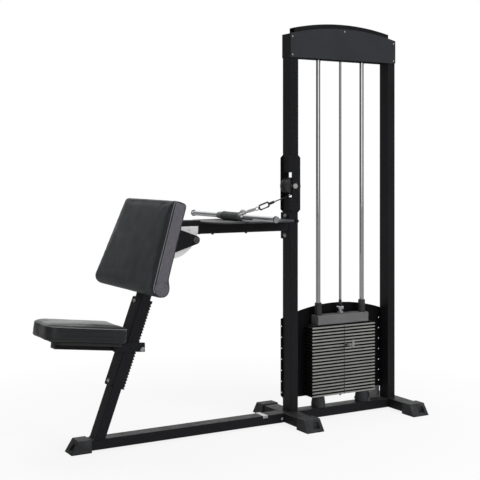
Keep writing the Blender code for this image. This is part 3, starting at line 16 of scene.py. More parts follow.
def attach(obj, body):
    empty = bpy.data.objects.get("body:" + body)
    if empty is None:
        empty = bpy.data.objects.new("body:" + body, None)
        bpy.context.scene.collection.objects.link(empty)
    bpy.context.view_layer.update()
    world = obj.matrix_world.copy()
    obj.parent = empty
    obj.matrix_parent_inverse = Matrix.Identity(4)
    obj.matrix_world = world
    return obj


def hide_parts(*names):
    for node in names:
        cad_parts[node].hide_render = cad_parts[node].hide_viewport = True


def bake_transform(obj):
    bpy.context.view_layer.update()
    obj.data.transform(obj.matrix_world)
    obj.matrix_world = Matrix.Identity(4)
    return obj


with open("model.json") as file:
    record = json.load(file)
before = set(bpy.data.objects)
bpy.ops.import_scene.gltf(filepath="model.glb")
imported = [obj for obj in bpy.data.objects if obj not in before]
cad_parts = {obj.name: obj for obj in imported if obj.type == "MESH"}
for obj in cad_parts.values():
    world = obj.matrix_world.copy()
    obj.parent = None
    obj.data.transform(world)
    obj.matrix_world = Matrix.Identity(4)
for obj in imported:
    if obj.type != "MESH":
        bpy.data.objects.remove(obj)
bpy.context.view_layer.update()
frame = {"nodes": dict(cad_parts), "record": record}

# Every place along X is told from the front upright's middle line
UPRIGHT_X = 0.34121

# Photographer's place
CAMERA_PLACE = (UPRIGHT_X - 2.98204, -4.62, 1.37)
CAMERA_TURN = math.radians(-30)
CAMERA_LENS = 76.05
CAMERA_RISE = -0.15

# Stage. Lamps: name, place, what it points at, size, share of full light
LAMPS = (
    ("key", (2.2, -5.2, 3.6), (0.1, 0.0, 1.0), 2.6, 0.56),
    ("fill", (-3.8, -3.6, 2.4), (0.0, 0.0, 1.0), 2.4, 0.10),
    ("top", (0.2, 0.6, 4.6), (0.1, 0.0, 1.0), 3.0, 0.62),
)
WHITE = (1.0, 1.0, 1.0)
PANEL_WAY = Vector((-0.35, -0.93, 0.10)).normalized()
FLOOR_RADIUS = 40.0
FLOOR_FADE = (0.9, 2.2)

# Frame
TOWER_SPACING = 0.661
HALF_DEPTH = 0.025
HALF_WIDTH = 0.040
BASE_TOP = 0.058
UPRIGHT_TOP = 2.093
RAIL_BOTTOM = 0.008
COVER_FACE = 0.0433
COVER_SCREW_COLUMNS = (UPRIGHT_X - 0.013, UPRIGHT_X + 0.673)
COVER_SCREW_ROWS = (1.981, 2.079)
COVER_CROWN = 2.125
SHROUD_SCREW_ROWS = (0.20, 0.50)
GUARD_FACE = 0.0443
GUARD_SCREW = (UPRIGHT_X - 0.637, 1.0575)
BEAM_BOTTOM = 1.033
BEAM_TOP = 1.088
FLANGE_FACE = UPRIGHT_X - 0.0333
FLANGE_BOLTS = (1.112, 1.0077)
BEAM_BOLTS = (UPRIGHT_X - 0.278, UPRIGHT_X - 0.479)
BRIDGE_BOTTOM = 1.0745
STACK_X = UPRIGHT_X + 0.3305
ROD_REACH = 0.148
TUBE_BOLT = (UPRIGHT_X - 0.0773, 0.030)
STRAP = (UPRIGHT_X - 0.1973, UPRIGHT_X - 0.1673)
WELD_RADIUS = 0.0032
WELD_RIPPLE = 0.0045
WELD_STAND = 0.0008
WELD_CORNER = 0.005
CROSS_TUBE_WELDS = (-0.062252, 0.062252, -0.054372, 0.054372)
SHROUD_BRACKET = (UPRIGHT_X + 0.563, UPRIGHT_X + 0.633, 0.0402, 0.120)

# Weight plates
PLATE_COUNT = 22
LIFTED_COUNT = 7
PLATE_PITCH = 0.01773
PLATE_RIM = 0.0084
PLATE_HALF_LENGTH = 0.2125
PLATE_HALF_WIDTH = 0.0395
PLATE_STEP = 0.012
STACK_BOTTOM = 0.1186
PIN_HOLE = 0.0032
PLATE_SHIFTS = (0.0, 0.0004, -0.0003, 0.0005, -0.0005, 0.0002)

# Slanted post, with its own frame at its foot, and what it carries
POST_FOOT_X = UPRIGHT_X - 1.1154
POST_HEAD_X = UPRIGHT_X - 0.74553
POST = Matrix.Translation((POST_FOOT_X, 0.0, BASE_TOP)) @ Matrix.Rotation(math.radians(20), 4, "Y")
POST_HALF_LEVEL = 0.0266
STRIP_FACE = -0.0393
STRIP_BOLTS = (0.276, 0.682)
PAD_FRONT = -0.136
PAD_BACK = -0.066
PAD_TOP = 1.187
PAD_LOW = 0.7205
PAD_ROLL = 0.044
PAD_ROLL_BACK = -0.046
PAD_HALF_BOTTOM = 0.365
PAD_HALF_TOP = 0.290
PAD_SWELL = 0.006
PAD_SHRINK = 0.0005
PAD_MESH = 0.007
CROSS_TUBE = (UPRIGHT_X - 0.606, 1.005)
CROSS_TUBE_RADIUS = 0.017
CROSS_TUBE_HALF = 0.064

# Seat, in its own tilted frame
SEAT = Matrix.Translation((UPRIGHT_X - 1.2137, 0.0, 0.546)) @ Matrix.Rotation(math.radians(6.5), 4, "Y")
SEAT_HALF_LENGTH = 0.207
SEAT_HALF_WIDTH = 0.130
SEAT_CORNER = 0.055
SEAT_POST_CORNER = 0.025
SEAT_THICK = 0.079
SEAT_SWELL = 0.0035
SEAT_SHRINK = 0.004
SEAT_MESH = 0.0055
SEAT_HELD = 0.0035
SEAT_BEAM_END = -0.122
SEAT_BOARD = (-0.142, 0.196, 0.104, 0.018)
SEAT_BEAM = (-0.0486, -0.0186)

# Stuffing, piping and thread
PAD_FILL = 0.85
STUFFING_PRESSURE = 4.0
PIPING_RADIUS = 0.0024
STITCH_PITCH = 0.0055
STITCH_LENGTH = 0.0036

# Curl handle: its clip, ferrule and cable on one line to the slot
CLIP_START = Vector((UPRIGHT_X - 0.19899, 0.0, 1.15623))
CLIP_RISE = math.atan2(0.3221, 0.9467)
CLIP = Matrix.Translation(CLIP_START) @ Matrix.Rotation(-CLIP_RISE, 4, "Y")
CLIP_LENGTH = 0.070
CLIP_WIDTH = 0.034
CLIP_WIRE = 0.0046
CLIP_CORNER = 0.0081
GATE_LENGTH = 0.034
CABLE_RADIUS = 0.003
HANDLE_CABLE_START = 0.0986
HANDLE_CABLE_END = 0.1832
CABLE_OFFSET = 0.0065
LIFT_CABLE_LOW = 0.6006
LIFT_CABLE_HIGH = 2.0347
SLEEVE_HALF = 0.085
KNURL_TURNS = 9.0
KNURL_PITCH = 420.0
BAR_HALF = 0.440
BAR_MIDDLE = Vector((UPRIGHT_X - 0.362, 0.0, 1.1186))
PRESS_PLACE = (UPRIGHT_X - 0.7125, 0.0065, 1.089)

# Heads of bolts and screws: radius and height
FLANGE_HEAD = (0.0085, 0.0062)
STRIP_HEAD = (0.0075, 0.0056)
BEAM_HEAD = (0.0065, 0.0062)
ROD_HEAD = (0.0060, 0.0050)
TUBE_HEAD = (0.0075, 0.004)
COVER_HEAD = (0.0048, 0.0024)
GUARD_HEAD = (0.0042, 0.0022)
SHROUD_HEAD = (0.0060, 0.0030)

# Wheels: body, place along X, Y and Z, half width
WHEELS = (
    ("tower_wheel", UPRIGHT_X, 0.0, 1.273, 0.033),
    ("beam_wheel", UPRIGHT_X + 0.0165, 0.0065, 1.084, 0.011),
    ("table_end_wheel", UPRIGHT_X - 0.68, 0.0065, 1.089, 0.011),
    ("top_front_wheel", UPRIGHT_X + 0.088, 0.0, 2.035, 0.018),
    ("top_stack_wheel", UPRIGHT_X + 0.2865, 0.0, 2.035, 0.018),
)


# Shapes: each function returns a bmesh


def block(low, high):
    middle = (Vector(low) + Vector(high)) / 2
    size = Vector(high) - Vector(low)
    shape = bmesh.new()
    bmesh.ops.create_cube(shape, size=1.0, matrix=Matrix.Translation(middle) @ Matrix.Diagonal((*size, 1.0)))
    return shape


def eased(shape, width, segments=2, edges=None):
    bmesh.ops.bevel(
        shape,
        geom=edges if edges else shape.edges[:],
        offset=width,
        offset_type="OFFSET",
        segments=segments,
        profile=0.5,
        affect="EDGES",
        material=-1,
        clamp_overlap=True,
    )
    return shape


def lathe(profile, steps=32):
    """A profile of (radius, height) points turned about Z, closed where it starts and ends on the axis."""
    shape = bmesh.new()
    points = [shape.verts.new((radius, 0.0, height)) for radius, height in profile]
    edges = [shape.edges.new(pair) for pair in zip(points, points[1:])]
    if profile[0][0] > 0:
        edges.append(shape.edges.new((points[-1], points[0])))
    bmesh.ops.spin(
        shape,
        geom=points + edges,
        cent=(0, 0, 0),
        axis=(0, 0, 1),
        angle=2 * math.pi,
        steps=steps,
        use_merge=True,
    )
    merge_close(shape)
    return shape


def merge_close(shape, gap=0.00001):
    bmesh.ops.remove_doubles(shape, verts=shape.verts[:], dist=gap)


def face_out(shape):
    bmesh.ops.recalc_face_normals(shape, faces=shape.faces[:])


def drawn_up(shape, faces, height, **kept):
    """Draws faces up along Z, with walls round them."""
    grown = bmesh.ops.extrude_face_region(shape, geom=faces, **kept)
    carried = [item for item in grown["geom"] if isinstance(item, bmesh.types.BMVert)]
    bmesh.ops.translate(shape, vec=(0, 0, height), verts=carried)


def as_mesh(shape, name):
    """A mesh of a shape. The shape goes."""
    mesh = bpy.data.meshes.new(name)
    shape.to_mesh(mesh)
    shape.free()
    return mesh


def in_scene(name, data):
    obj = bpy.data.objects.new(name, data)
    bpy.context.scene.collection.objects.link(obj)
    return obj


def placed(shape, matrix):
    bmesh.ops.transform(shape, matrix=matrix, verts=shape.verts[:])
    return shape


def facing(place, direction):
    """Carries a piece made along +Z to a place, with its +Z along a direction."""
    turn = Vector(direction).to_track_quat("Z", "Y").to_matrix().to_4x4()
    return Matrix.Translation(place) @ turn


def set_on(shape, place, direction):
    return placed(shape, facing(place, direction))


def together(shapes):
    whole = bmesh.new()
    for shape in shapes:
        face_out(shape)
        carrier = as_mesh(shape, "carrier")
        whole.from_mesh(carrier)
        bpy.data.meshes.remove(carrier)
    return whole


def from_object(obj):
    """The shape of an object with its modifiers done. The object goes."""
    bpy.context.view_layer.update()
    depsgraph = bpy.context.evaluated_depsgraph_get()
    mesh = bpy.data.meshes.new_from_object(obj.evaluated_get(depsgraph))
    shape = bmesh.new()
    shape.from_mesh(mesh)
    bpy.data.meshes.remove(mesh)
    bpy.data.objects.remove(obj, do_unlink=True)
    return shape


def scratch_object(shape, name="scratch"):
    return in_scene(name, as_mesh(shape, name))


def bored(shape, drills):
    """The shape with holes. Inside faces take the second material, so both meshes need two slots."""
    for face in drills.faces:
        face.material_index = 1
    face_out(drills)
    face_out(shape)
    work = scratch_object(shape)
    tool = scratch_object(drills, "drills")
    for holder in (work, tool):
        for kind in ("outer", "bore"):
            holder.data.materials.append(bpy.data.materials.get(kind) or bpy.data.materials.new(kind))
    step = work.modifiers.new("bore", "BOOLEAN")
    step.operation = "DIFFERENCE"
    step.object = tool
    made = from_object(work)
    bpy.data.objects.remove(tool, do_unlink=True)
    return made


def wire(points, radius, closed=False, swell=None, sides=3):
    """A round wire through points. Swell gives a share of the radius at each point."""
    curve = bpy.data.curves.new("wire", "CURVE")
    curve.dimensions = "3D"
    curve.bevel_depth = radius
    curve.bevel_resolution = sides
    curve.use_fill_caps = not closed
    spline = curve.splines.new("POLY")
    spline.points.add(len(points) - 1)
    for k, (target, place) in enumerate(zip(spline.points, points)):
        target.co = (*place, 1.0)
        target.radius = swell[k % len(swell)] if swell else 1.0
    spline.use_cyclic_u = closed
    shape = from_object(in_scene("wire", curve))
    bpy.data.curves.remove(curve)
    merge_close(shape)
    return shape


def corner_arc(centre, radius, start, end, steps):
    turns = [start + (end - start) * k / steps for k in range(steps + 1)]
    return [(centre[0] + radius * math.cos(a), centre[1] + radius * math.sin(a)) for a in turns]


def rounded_plan(half_length, half_width, radius, steps=8, high_radius=None):
    """Points round a rectangle with round corners, about the origin. High_radius is for the +X end."""
    quarter = math.pi / 2
    tight = high_radius if high_radius else radius
    low_x, high_x = radius - half_length, half_length - tight
    plan = corner_arc((high_x, half_width - tight), tight, 0.0, quarter, steps)
    plan += corner_arc((low_x, half_width - radius), radius, quarter, 2 * quarter, steps)
    plan += corner_arc((low_x, radius - half_width), radius, 2 * quarter, 3 * quarter, steps)
    return plan + corner_arc((high_x, tight - half_width), tight, 3 * quarter, 4 * quarter, steps)


def evenly(points, pitch, closed=True):
    """The same line with points at an even pitch."""
    line = [Vector(point) for point in points]
    if closed:
        line.append(line[0])
    lengths = [0.0]
    for first, second in zip(line, line[1:]):
        lengths.append(lengths[-1] + (second - first).length)
    count = max(4, round(lengths[-1] / pitch))
    spots = []
    span = 0
    for k in range(count if closed else count + 1):
        reach = lengths[-1] * k / count
        while span < len(line) - 2 and lengths[span + 1] < reach:
            span += 1
        share = (reach - lengths[span]) / max(lengths[span + 1] - lengths[span], 0.000001)
        spots.append(line[span].lerp(line[span + 1], min(share, 1.0)))
    return spots


# Node helpers


def add_node(tree, kind, inputs=None, **settings):
    """A shader node with its inputs linked or set. A colour is three numbers."""
    node = tree.nodes.new("ShaderNode" + kind)
    for key, value in settings.items():
        setattr(node, key, value)
    for key, value in (inputs or {}).items():
        socket = node.inputs[key]
        if isinstance(value, bpy.types.NodeSocket):
            tree.links.new(value, socket)
        else:
            socket.default_value = (*value, 1.0) if socket.type == "RGBA" else value
    return node


def noise(tree, where, scale, detail=2.0, roughness=0.5):
    inputs = {"Vector": where, "Scale": scale, "Detail": detail, "Roughness": roughness}
    return add_node(tree, "TexNoise", inputs).outputs["Fac"]


def spread(tree, value, low, high, to_low=0.0, to_high=1.0):
    inputs = {"Value": value, "From Min": low, "From Max": high, "To Min": to_low, "To Max": to_high}
    return add_node(tree, "MapRange", inputs, clamp=True).outputs["Result"]


def maths(tree, operation, first, second=0.0):
    return add_node(tree, "Math", {0: first, 1: second}, operation=operation).outputs["Value"]


def times(tree, first, second):
    return maths(tree, "MULTIPLY", first, second)


def plus(tree, first, second):
    return maths(tree, "ADD", first, second)


def minus(tree, first, second):
    return maths(tree, "SUBTRACT", first, second)


def dotted(tree, first, second):
    node = add_node(tree, "VectorMath", {0: first, 1: second}, operation="DOT_PRODUCT")
    return node.outputs["Value"]


def mixed(tree, share, first, second, way="MIX"):
    inputs = {0: share, 6: first, 7: second}
    node = add_node(tree, "Mix", inputs, data_type="RGBA", blend_type=way, clamp_factor=True)
    return node.outputs[2]


def toned(tree, colour, tone):
    return mixed(tree, 1.0, colour, tone, "MULTIPLY")


def stretched(tree, where, scale):
    return add_node(tree, "Mapping", {"Vector": where, "Scale": scale}).outputs["Vector"]


def new_group(name, inputs, outputs):
    tree = bpy.data.node_groups.new(name, "ShaderNodeTree")
    kinds = {"vector": "NodeSocketVector", "colour": "NodeSocketColor", "number": "NodeSocketFloat"}
    for label, kind in inputs:
        tree.interface.new_socket(label, in_out="INPUT", socket_type=kinds[kind])
    for label, kind in outputs:
        tree.interface.new_socket(label, in_out="OUTPUT", socket_type=kinds[kind])
    return tree, tree.nodes.new("NodeGroupInput").outputs, tree.nodes.new("NodeGroupOutput").inputs


def use_group(tree, group, where, **inputs):
    return add_node(tree, "Group", {"Where": where, **inputs}, node_tree=group).outputs


# Shared effects


def speckled_coat_group():
    """Baked powder: fine light specks, a broad drift of tone and an orange-peel skin."""
    wanted = [("Where", "vector"), ("Coat", "colour"), ("Speck", "colour"), ("Amount", "number")]
    tree, given, out = new_group(
        "speckled_coat", wanted, [("Colour", "colour"), ("Roughness", "number"), ("Height", "number")]
    )
    where = given["Where"]
    fine = spread(tree, noise(tree, where, 650.0, 1.0), 0.62, 0.74)
    drift = spread(tree, noise(tree, where, 2.6, 3.0), 0.3, 0.7, 0.86, 1.14)
    base = toned(tree, given["Coat"], drift)
    specks = times(tree, fine, given["Amount"])
    tree.links.new(mixed(tree, specks, base, given["Speck"]), out["Colour"])
    tree.links.new(spread(tree, noise(tree, where, 38.0, 4.0), 0.3, 0.7, 0.36, 0.50), out["Roughness"])
    peel = plus(tree, noise(tree, where, 420.0, 2.0), noise(tree, where, 160.0, 1.0))
    tree.links.new(peel, out["Height"])
    return tree


def edge_wear_and_highlight_group():
    """A mask where an edge is, broken up: for paint worn thin along corners, and for painted highlight lines
    along edges.
    """
    tree, given, out = new_group(
        "edge_wear_and_highlight", [("Where", "vector"), ("Reach", "number")], [("Mask", "number"), ("Normal", "vector")]
    )
    round_normal = add_node(tree, "Bevel", {"Radius": given["Reach"]}, samples=4).outputs["Normal"]
    plain = add_node(tree, "NewGeometry").outputs["Normal"]
    edge = spread(tree, dotted(tree, round_normal, plain), 0.97, 0.80)
    broken = spread(tree, noise(tree, given["Where"], 45.0, 5.0, 0.65), 0.42, 0.66)
    tree.links.new(times(tree, edge, broken), out["Mask"])
    tree.links.new(round_normal, out["Normal"])
    return tree


def dust_and_top_light_group():
    """A mask for surfaces that face up, thicker in patches: for dust, and for painted light on tops."""
    tree, given, out = new_group("dust_and_top_light", [("Where", "vector")], [("Mask", "number")])
    normal = add_node(tree, "NewGeometry").outputs["Normal"]
    height = add_node(tree, "SeparateXYZ", {"Vector": normal}).outputs["Z"]
    upward = spread(tree, height, 0.55, 0.98)
    patches = spread(tree, noise(tree, given["Where"], 9.0, 5.0, 0.6), 0.35, 0.72)
    tree.links.new(times(tree, upward, patches), out["Mask"])
    return tree


def handling_group():
    """Smears from hands and cloths: an uneven shine with fine scratches."""
    tree, given, out = new_group(
        "handling", [("Where", "vector"), ("Low", "number"), ("High", "number")], [("Roughness", "number")]
    )
    where = given["Where"]
    smears = noise(tree, stretched(tree, where, (7.0, 7.0, 3.0)), 2.2, 4.0, 0.6)
    scratches = noise(tree, stretched(tree, where, (300.0, 300.0, 40.0)), 1.0, 2.0, 0.7)
    both = plus(tree, times(tree, smears, 0.75), times(tree, scratches, 0.25))
    tree.links.new(spread(tree, both, 0.35, 0.65, given["Low"], given["High"]), out["Roughness"])
    return tree


def brushed_lines_group():
    """Fine lines along one axis, for ground and brushed steel."""
    tree, given, out = new_group(
        "brushed_lines",
        [("Where", "vector"), ("Stretch", "vector")],
        [("Tone", "number"), ("Height", "number")],
    )
    along = add_node(
        tree, "VectorMath", {0: given["Where"], 1: given["Stretch"]}, operation="MULTIPLY"
    ).outputs["Vector"]
    fine = noise(tree, along, 1.0, 4.0, 0.7)
    tree.links.new(spread(tree, fine, 0.25, 0.75, 0.82, 1.12), out["Tone"])
    tree.links.new(fine, out["Height"])
    return tree


def vinyl_grain_group():
    """Embossed vinyl: small pebbles, finer pores between them, painted shade in the valleys between the
    pebbles, and a slow change of tone from use.
    """
    tree, given, out = new_group(
        "vinyl_grain",
        [("Where", "vector"), ("Cover", "colour"), ("Rub", "colour")],
        [("Colour", "colour"), ("Roughness", "number"), ("Height", "number")],
    )
    where = given["Where"]
    drift = add_node(tree, "TexNoise", {"Vector": where, "Scale": 90.0}).outputs["Color"]
    bent = mixed(tree, 0.04, where, drift)
    cells = {"Vector": bent, "Scale": 520.0}
    pebbles = add_node(tree, "TexVoronoi", cells, feature="DISTANCE_TO_EDGE").outputs["Distance"]
    cushion = spread(tree, pebbles, 0.0, 0.22)
    pores = noise(tree, where, 1500.0, 2.0)
    height = plus(tree, cushion, times(tree, pores, 0.35))
    tree.links.new(height, out["Height"])
    slow = spread(tree, noise(tree, where, 4.5, 4.0, 0.55), 0.32, 0.72)
    tone = mixed(tree, slow, given["Cover"], given["Rub"])
    # The valleys between pebbles are painted darker: painted shade.
    pebble_valley_shade = spread(tree, cushion, 0.0, 1.0, 0.80, 1.04)
    tree.links.new(toned(tree, tone, pebble_valley_shade), out["Colour"])
    tree.links.new(spread(tree, noise(tree, where, 14.0, 3.0), 0.3, 0.7, 0.36, 0.50), out["Roughness"])
    return tree


COAT = speckled_coat_group()
EDGE = edge_wear_and_highlight_group()
DUST_AND_TOP_LIGHT = dust_and_top_light_group()
HANDLING = handling_group()
BRUSHED = brushed_lines_group()
GRAIN = vinyl_grain_group()


# Finishes


def new_finish(name, **fixed):
    """A material with its shader's plain numbers set, its node tree, and where on the piece a point is."""
    made = bpy.data.materials.new(name)
    made.use_nodes = True
    tree = made.node_tree
    shader = tree.nodes["Principled BSDF"]
    for socket, value in fixed.items():
        shader.inputs[socket.replace("_", " ")].default_value = value
    where = add_node(tree, "TexCoord").outputs["Object"]
    return made, tree, shader.inputs, where


def dress(tree, shader, colour, roughness, height, strength, distance, normal=None):
    """Gives a shader its colour, its roughness, and a relief with its strength and its depth in metres."""
    inputs = {"Height": height, "Strength": strength, "Distance": distance}
    if normal:
        inputs["Normal"] = normal
    raised = add_node(tree, "Bump", inputs).outputs["Normal"]
    for label, value in (("Base Color", colour), ("Roughness", roughness), ("Normal", raised)):
        tree.links.new(value, shader[label])


def powder_finish(name, coat, speck, amount, rub, dust, shine):
    """Powder coat with its corners toned towards a rub colour, as wear and as a painted highlight line, and
    with dust and painted top light on the faces that look up.
    """
    made, tree, shader, where = new_finish(name, Specular_IOR_Level=shine)
    skin = use_group(tree, COAT, where, Coat=coat, Speck=speck, Amount=amount)
    edge = use_group(tree, EDGE, where, Reach=0.0012)
    dust_and_light_mask = use_group(tree, DUST_AND_TOP_LIGHT, where)["Mask"]
    # Corners take the rub colour: wear, and a painted highlight line where that colour is lighter than the
    # coat.
    worn = mixed(tree, times(tree, edge["Mask"], 0.55), skin["Colour"], rub)
    # Upward faces pale towards dust: dust, and painted light on tops.
    dusted_and_lit = mixed(tree, times(tree, dust_and_light_mask, dust), worn, (0.30, 0.29, 0.27))
    rough = plus(tree, skin["Roughness"], times(tree, dust_and_light_mask, 0.18))
    dress(tree, shader, dusted_and_lit, rough, skin["Height"], 0.16, 0.0004, edge["Normal"])
    return made


def metal_finish(name, colour, low, high, tint=(0.9, 0.9, 0.9), metallic=1.0):
    """Polished plating with handling marks and a little grime that dulls it in patches."""
    made, tree, shader, where = new_finish(name, Metallic=metallic)
    marks = use_group(tree, HANDLING, where, Low=low, High=high)
    patches = spread(tree, noise(tree, where, 26.0, 4.0), 0.45, 0.75)
    shade = mixed(tree, patches, colour, toned(tree, colour, tint))
    dress(tree, shader, shade, marks["Roughness"], noise(tree, where, 700.0, 2.0), 0.05, 0.0002)
    return made


def brushed_finish(name, colour, stretch, metallic, rough):
    """Ground steel with its lines along one axis, brighter where corners are worn."""
    made, tree, shader, where = new_finish(name, Metallic=metallic)
    lines = use_group(tree, BRUSHED, where, Stretch=stretch)
    edge = use_group(tree, EDGE, where, Reach=0.001)
    patches = spread(tree, noise(tree, where, 12.0, 4.0), 0.3, 0.75, 0.90, 1.06)
    ground = toned(tree, toned(tree, colour, lines["Tone"]), patches)
    bright = tuple(min(1.0, part * 1.35) for part in colour)
    worn = mixed(tree, edge["Mask"], ground, bright)
    uneven = spread(tree, lines["Tone"], 0.82, 1.12, rough - 0.08, rough + 0.10)
    dress(tree, shader, worn, uneven, lines["Height"], 0.20, 0.0003, edge["Normal"])
    return made


def rubber_finish(name, colour, pale, grain, rough):
    """Moulded rubber: a fine matt skin that greys a little where it is rubbed."""
    made, tree, shader, where = new_finish(name, Specular_IOR_Level=0.35)
    edge = use_group(tree, EDGE, where, Reach=0.0016)
    dust_and_light_mask = use_group(tree, DUST_AND_TOP_LIGHT, where)["Mask"]
    tone = mixed(tree, spread(tree, noise(tree, where, 18.0, 4.0), 0.35, 0.75), colour, pale)
    rubbed = mixed(tree, times(tree, edge["Mask"], 0.5), tone, (0.16, 0.16, 0.16))
    # Upward faces pale towards dust: dust, and painted light on tops.
    dusted_and_lit = mixed(tree, times(tree, dust_and_light_mask, 0.22), rubbed, (0.26, 0.25, 0.23))
    skin = noise(tree, where, grain, 3.0)
    uneven = spread(tree, skin, 0.3, 0.7, rough - 0.07, rough + 0.08)
    dress(tree, shader, dusted_and_lit, uneven, skin, 0.30, 0.0004, edge["Normal"])
    return made


def grip_finish():
    """Grey sleeve rubber with a crossed knurl and light flecks."""
    made, tree, shader, where = new_finish("sleeve_rubber", Specular_IOR_Level=0.4)
    parts = add_node(tree, "SeparateXYZ", {"Vector": where}).outputs
    over = minus(tree, parts["Z"], BAR_MIDDLE.z)
    across = minus(tree, parts["X"], BAR_MIDDLE.x)
    slope = times(tree, maths(tree, "ARCTAN2", over, across), KNURL_TURNS)
    ridges = []
    for way in (1, -1):
        run = plus(tree, slope, times(tree, parts["Y"], way * KNURL_PITCH))
        ridges.append(maths(tree, "SINE", run))
    knurl = times(tree, *ridges)
    flecks = spread(tree, noise(tree, where, 420.0, 2.0), 0.56, 0.70)
    tone = mixed(tree, flecks, (0.070, 0.080, 0.076), (0.50, 0.54, 0.51))
    shaded = toned(tree, tone, spread(tree, knurl, -1.0, 1.0, 0.70, 1.10))
    dress(tree, shader, shaded, spread(tree, flecks, 0.0, 1.0, 0.62, 0.40), knurl, 0.55, 0.0007)
    return made


def vinyl_finish(name, cover, rub, gloss, panel=None):
    """Embossed vinyl with slow creases. A panel is a share of the surface, and its own lighter colour, which
    paints light onto that share.
    """
    made, tree, shader, where = new_finish(
        name,
        Specular_IOR_Level=0.25 + gloss / 2,
        Sheen_Weight=0.04,
        Sheen_Roughness=0.45,
        Coat_Weight=gloss,
        Coat_Roughness=0.26,
    )
    if panel:
        share, colour = panel(tree, where)
        cover, rub = mixed(tree, share, cover, colour), mixed(tree, share, rub, colour)
    grain = use_group(tree, GRAIN, where, Cover=cover, Rub=rub)
    dust_and_light_mask = use_group(tree, DUST_AND_TOP_LIGHT, where)["Mask"]
    # Upward faces pale towards dust: dust, and painted light on tops.
    dusted_and_lit = mixed(tree, times(tree, dust_and_light_mask, 0.05), grain["Colour"], (0.20, 0.20, 0.19))
    creases = noise(tree, stretched(tree, where, (22.0, 6.0, 22.0)), 1.0, 5.0, 0.6)
    height = plus(tree, grain["Height"], times(tree, creases, 0.7))
    dress(tree, shader, dusted_and_lit, grain["Roughness"], height, 0.30, 0.0006)
    return made


def arm_pad_lit_sides(tree, where):
    """Painted light on both sides of the arm pad, inside its piping: a lighter, flecked colour that stands
    for the light the side faces get.
    """
    foot, lean = POST.to_translation(), POST.to_3x3()
    out = add_node(tree, "VectorMath", {0: where, 1: foot}, operation="SUBTRACT").outputs["Vector"]
    across, up = (dotted(tree, out, lean @ Vector(axis)) for axis in ((1, 0, 0), (0, 0, 1)))
    beside = add_node(tree, "SeparateXYZ", {"Vector": where}).outputs["Y"]
    half = spread(tree, up, PAD_LOW, PAD_TOP, PAD_HALF_BOTTOM, PAD_HALF_TOP)
    side = maths(tree, "GREATER_THAN", minus(tree, maths(tree, "ABSOLUTE", beside), half), -0.0060)
    strip = spread(tree, across, PAD_FRONT + 0.0095, PAD_FRONT + 0.0105)
    strip = times(tree, strip, spread(tree, across, PAD_BACK - 0.004, PAD_BACK - 0.005))
    strip = times(tree, strip, spread(tree, up, PAD_TOP - 0.0075, PAD_TOP - 0.0085))
    strip = times(tree, strip, maths(tree, "GREATER_THAN", up, PAD_LOW + PAD_ROLL))
    middle = (PAD_FRONT + PAD_ROLL_BACK) / 2
    beyond = (minus(tree, across, middle), minus(tree, up, PAD_LOW + PAD_ROLL))
    round_out = maths(tree, "SQRT", plus(tree, *(times(tree, part, part) for part in beyond)))
    disc = maths(tree, "LESS_THAN", round_out, PAD_ROLL - 0.006)
    fleck = spread(tree, noise(tree, where, 260.0, 3.0, 0.7), 0.40, 0.62)
    colour = mixed(tree, fleck, (0.086, 0.082, 0.096), (0.160, 0.153, 0.172))
    return times(tree, side, maths(tree, "MAXIMUM", strip, disc)), colour


def jacket_finish():
    """Black plastic over steel rope: the strands show as a faint lay under the skin."""
    made, tree, shader, where = new_finish("cable_jacket", Specular_IOR_Level=0.5, Coat_Weight=0.15)
    lay = add_node(
        tree,
        "TexWave",
        {"Vector": where, "Scale": 90.0, "Distortion": 1.2, "Detail": 2.0},
        wave_type="BANDS",
        bands_direction="DIAGONAL",
    ).outputs["Fac"]
    wear = spread(tree, noise(tree, where, 60.0, 4.0), 0.5, 0.75)
    tone = mixed(tree, wear, (0.020, 0.021, 0.023), (0.055, 0.056, 0.060))
    dress(tree, shader, tone, spread(tree, lay, 0.0, 1.0, 0.28, 0.44), lay, 0.18, 0.0003)
    return made


def nylon_finish():
    """Black nylon turned on a lathe, paler along its edges: a painted highlight on its rims."""
    made, tree, shader, where = new_finish("sheave_nylon", Specular_IOR_Level=0.45)
    marks = use_group(tree, BRUSHED, where, Stretch=(260.0, 40.0, 260.0))
    edge = use_group(tree, EDGE, where, Reach=0.001)
    blotch = spread(tree, noise(tree, where, 30.0, 3.0), 0.35, 0.7)
    tone = mixed(tree, blotch, (0.026, 0.026, 0.028), (0.042, 0.042, 0.045))
    worn = mixed(tree, edge["Mask"], tone, (0.12, 0.12, 0.12))
    uneven = spread(tree, marks["Tone"], 0.82, 1.12, 0.36, 0.52)
    dress(tree, shader, worn, uneven, marks["Height"], 0.12, 0.0003, edge["Normal"])
    return made


def board_finish():
    """Black paint on plywood, with the layers just readable and scuffed corners."""
    made, tree, shader, where = new_finish("painted_board", Specular_IOR_Level=0.35)
    layers = noise(tree, stretched(tree, where, (18.0, 9.0, 420.0)), 1.0, 3.0)
    edge = use_group(tree, EDGE, where, Reach=0.0015)
    tone = mixed(tree, layers, (0.016, 0.016, 0.017), (0.036, 0.035, 0.034))
    worn = mixed(tree, edge["Mask"], tone, (0.20, 0.15, 0.10))
    uneven = spread(tree, layers, 0.3, 0.7, 0.55, 0.75)
    dress(tree, shader, worn, uneven, layers, 0.25, 0.0004, edge["Normal"])
    return made


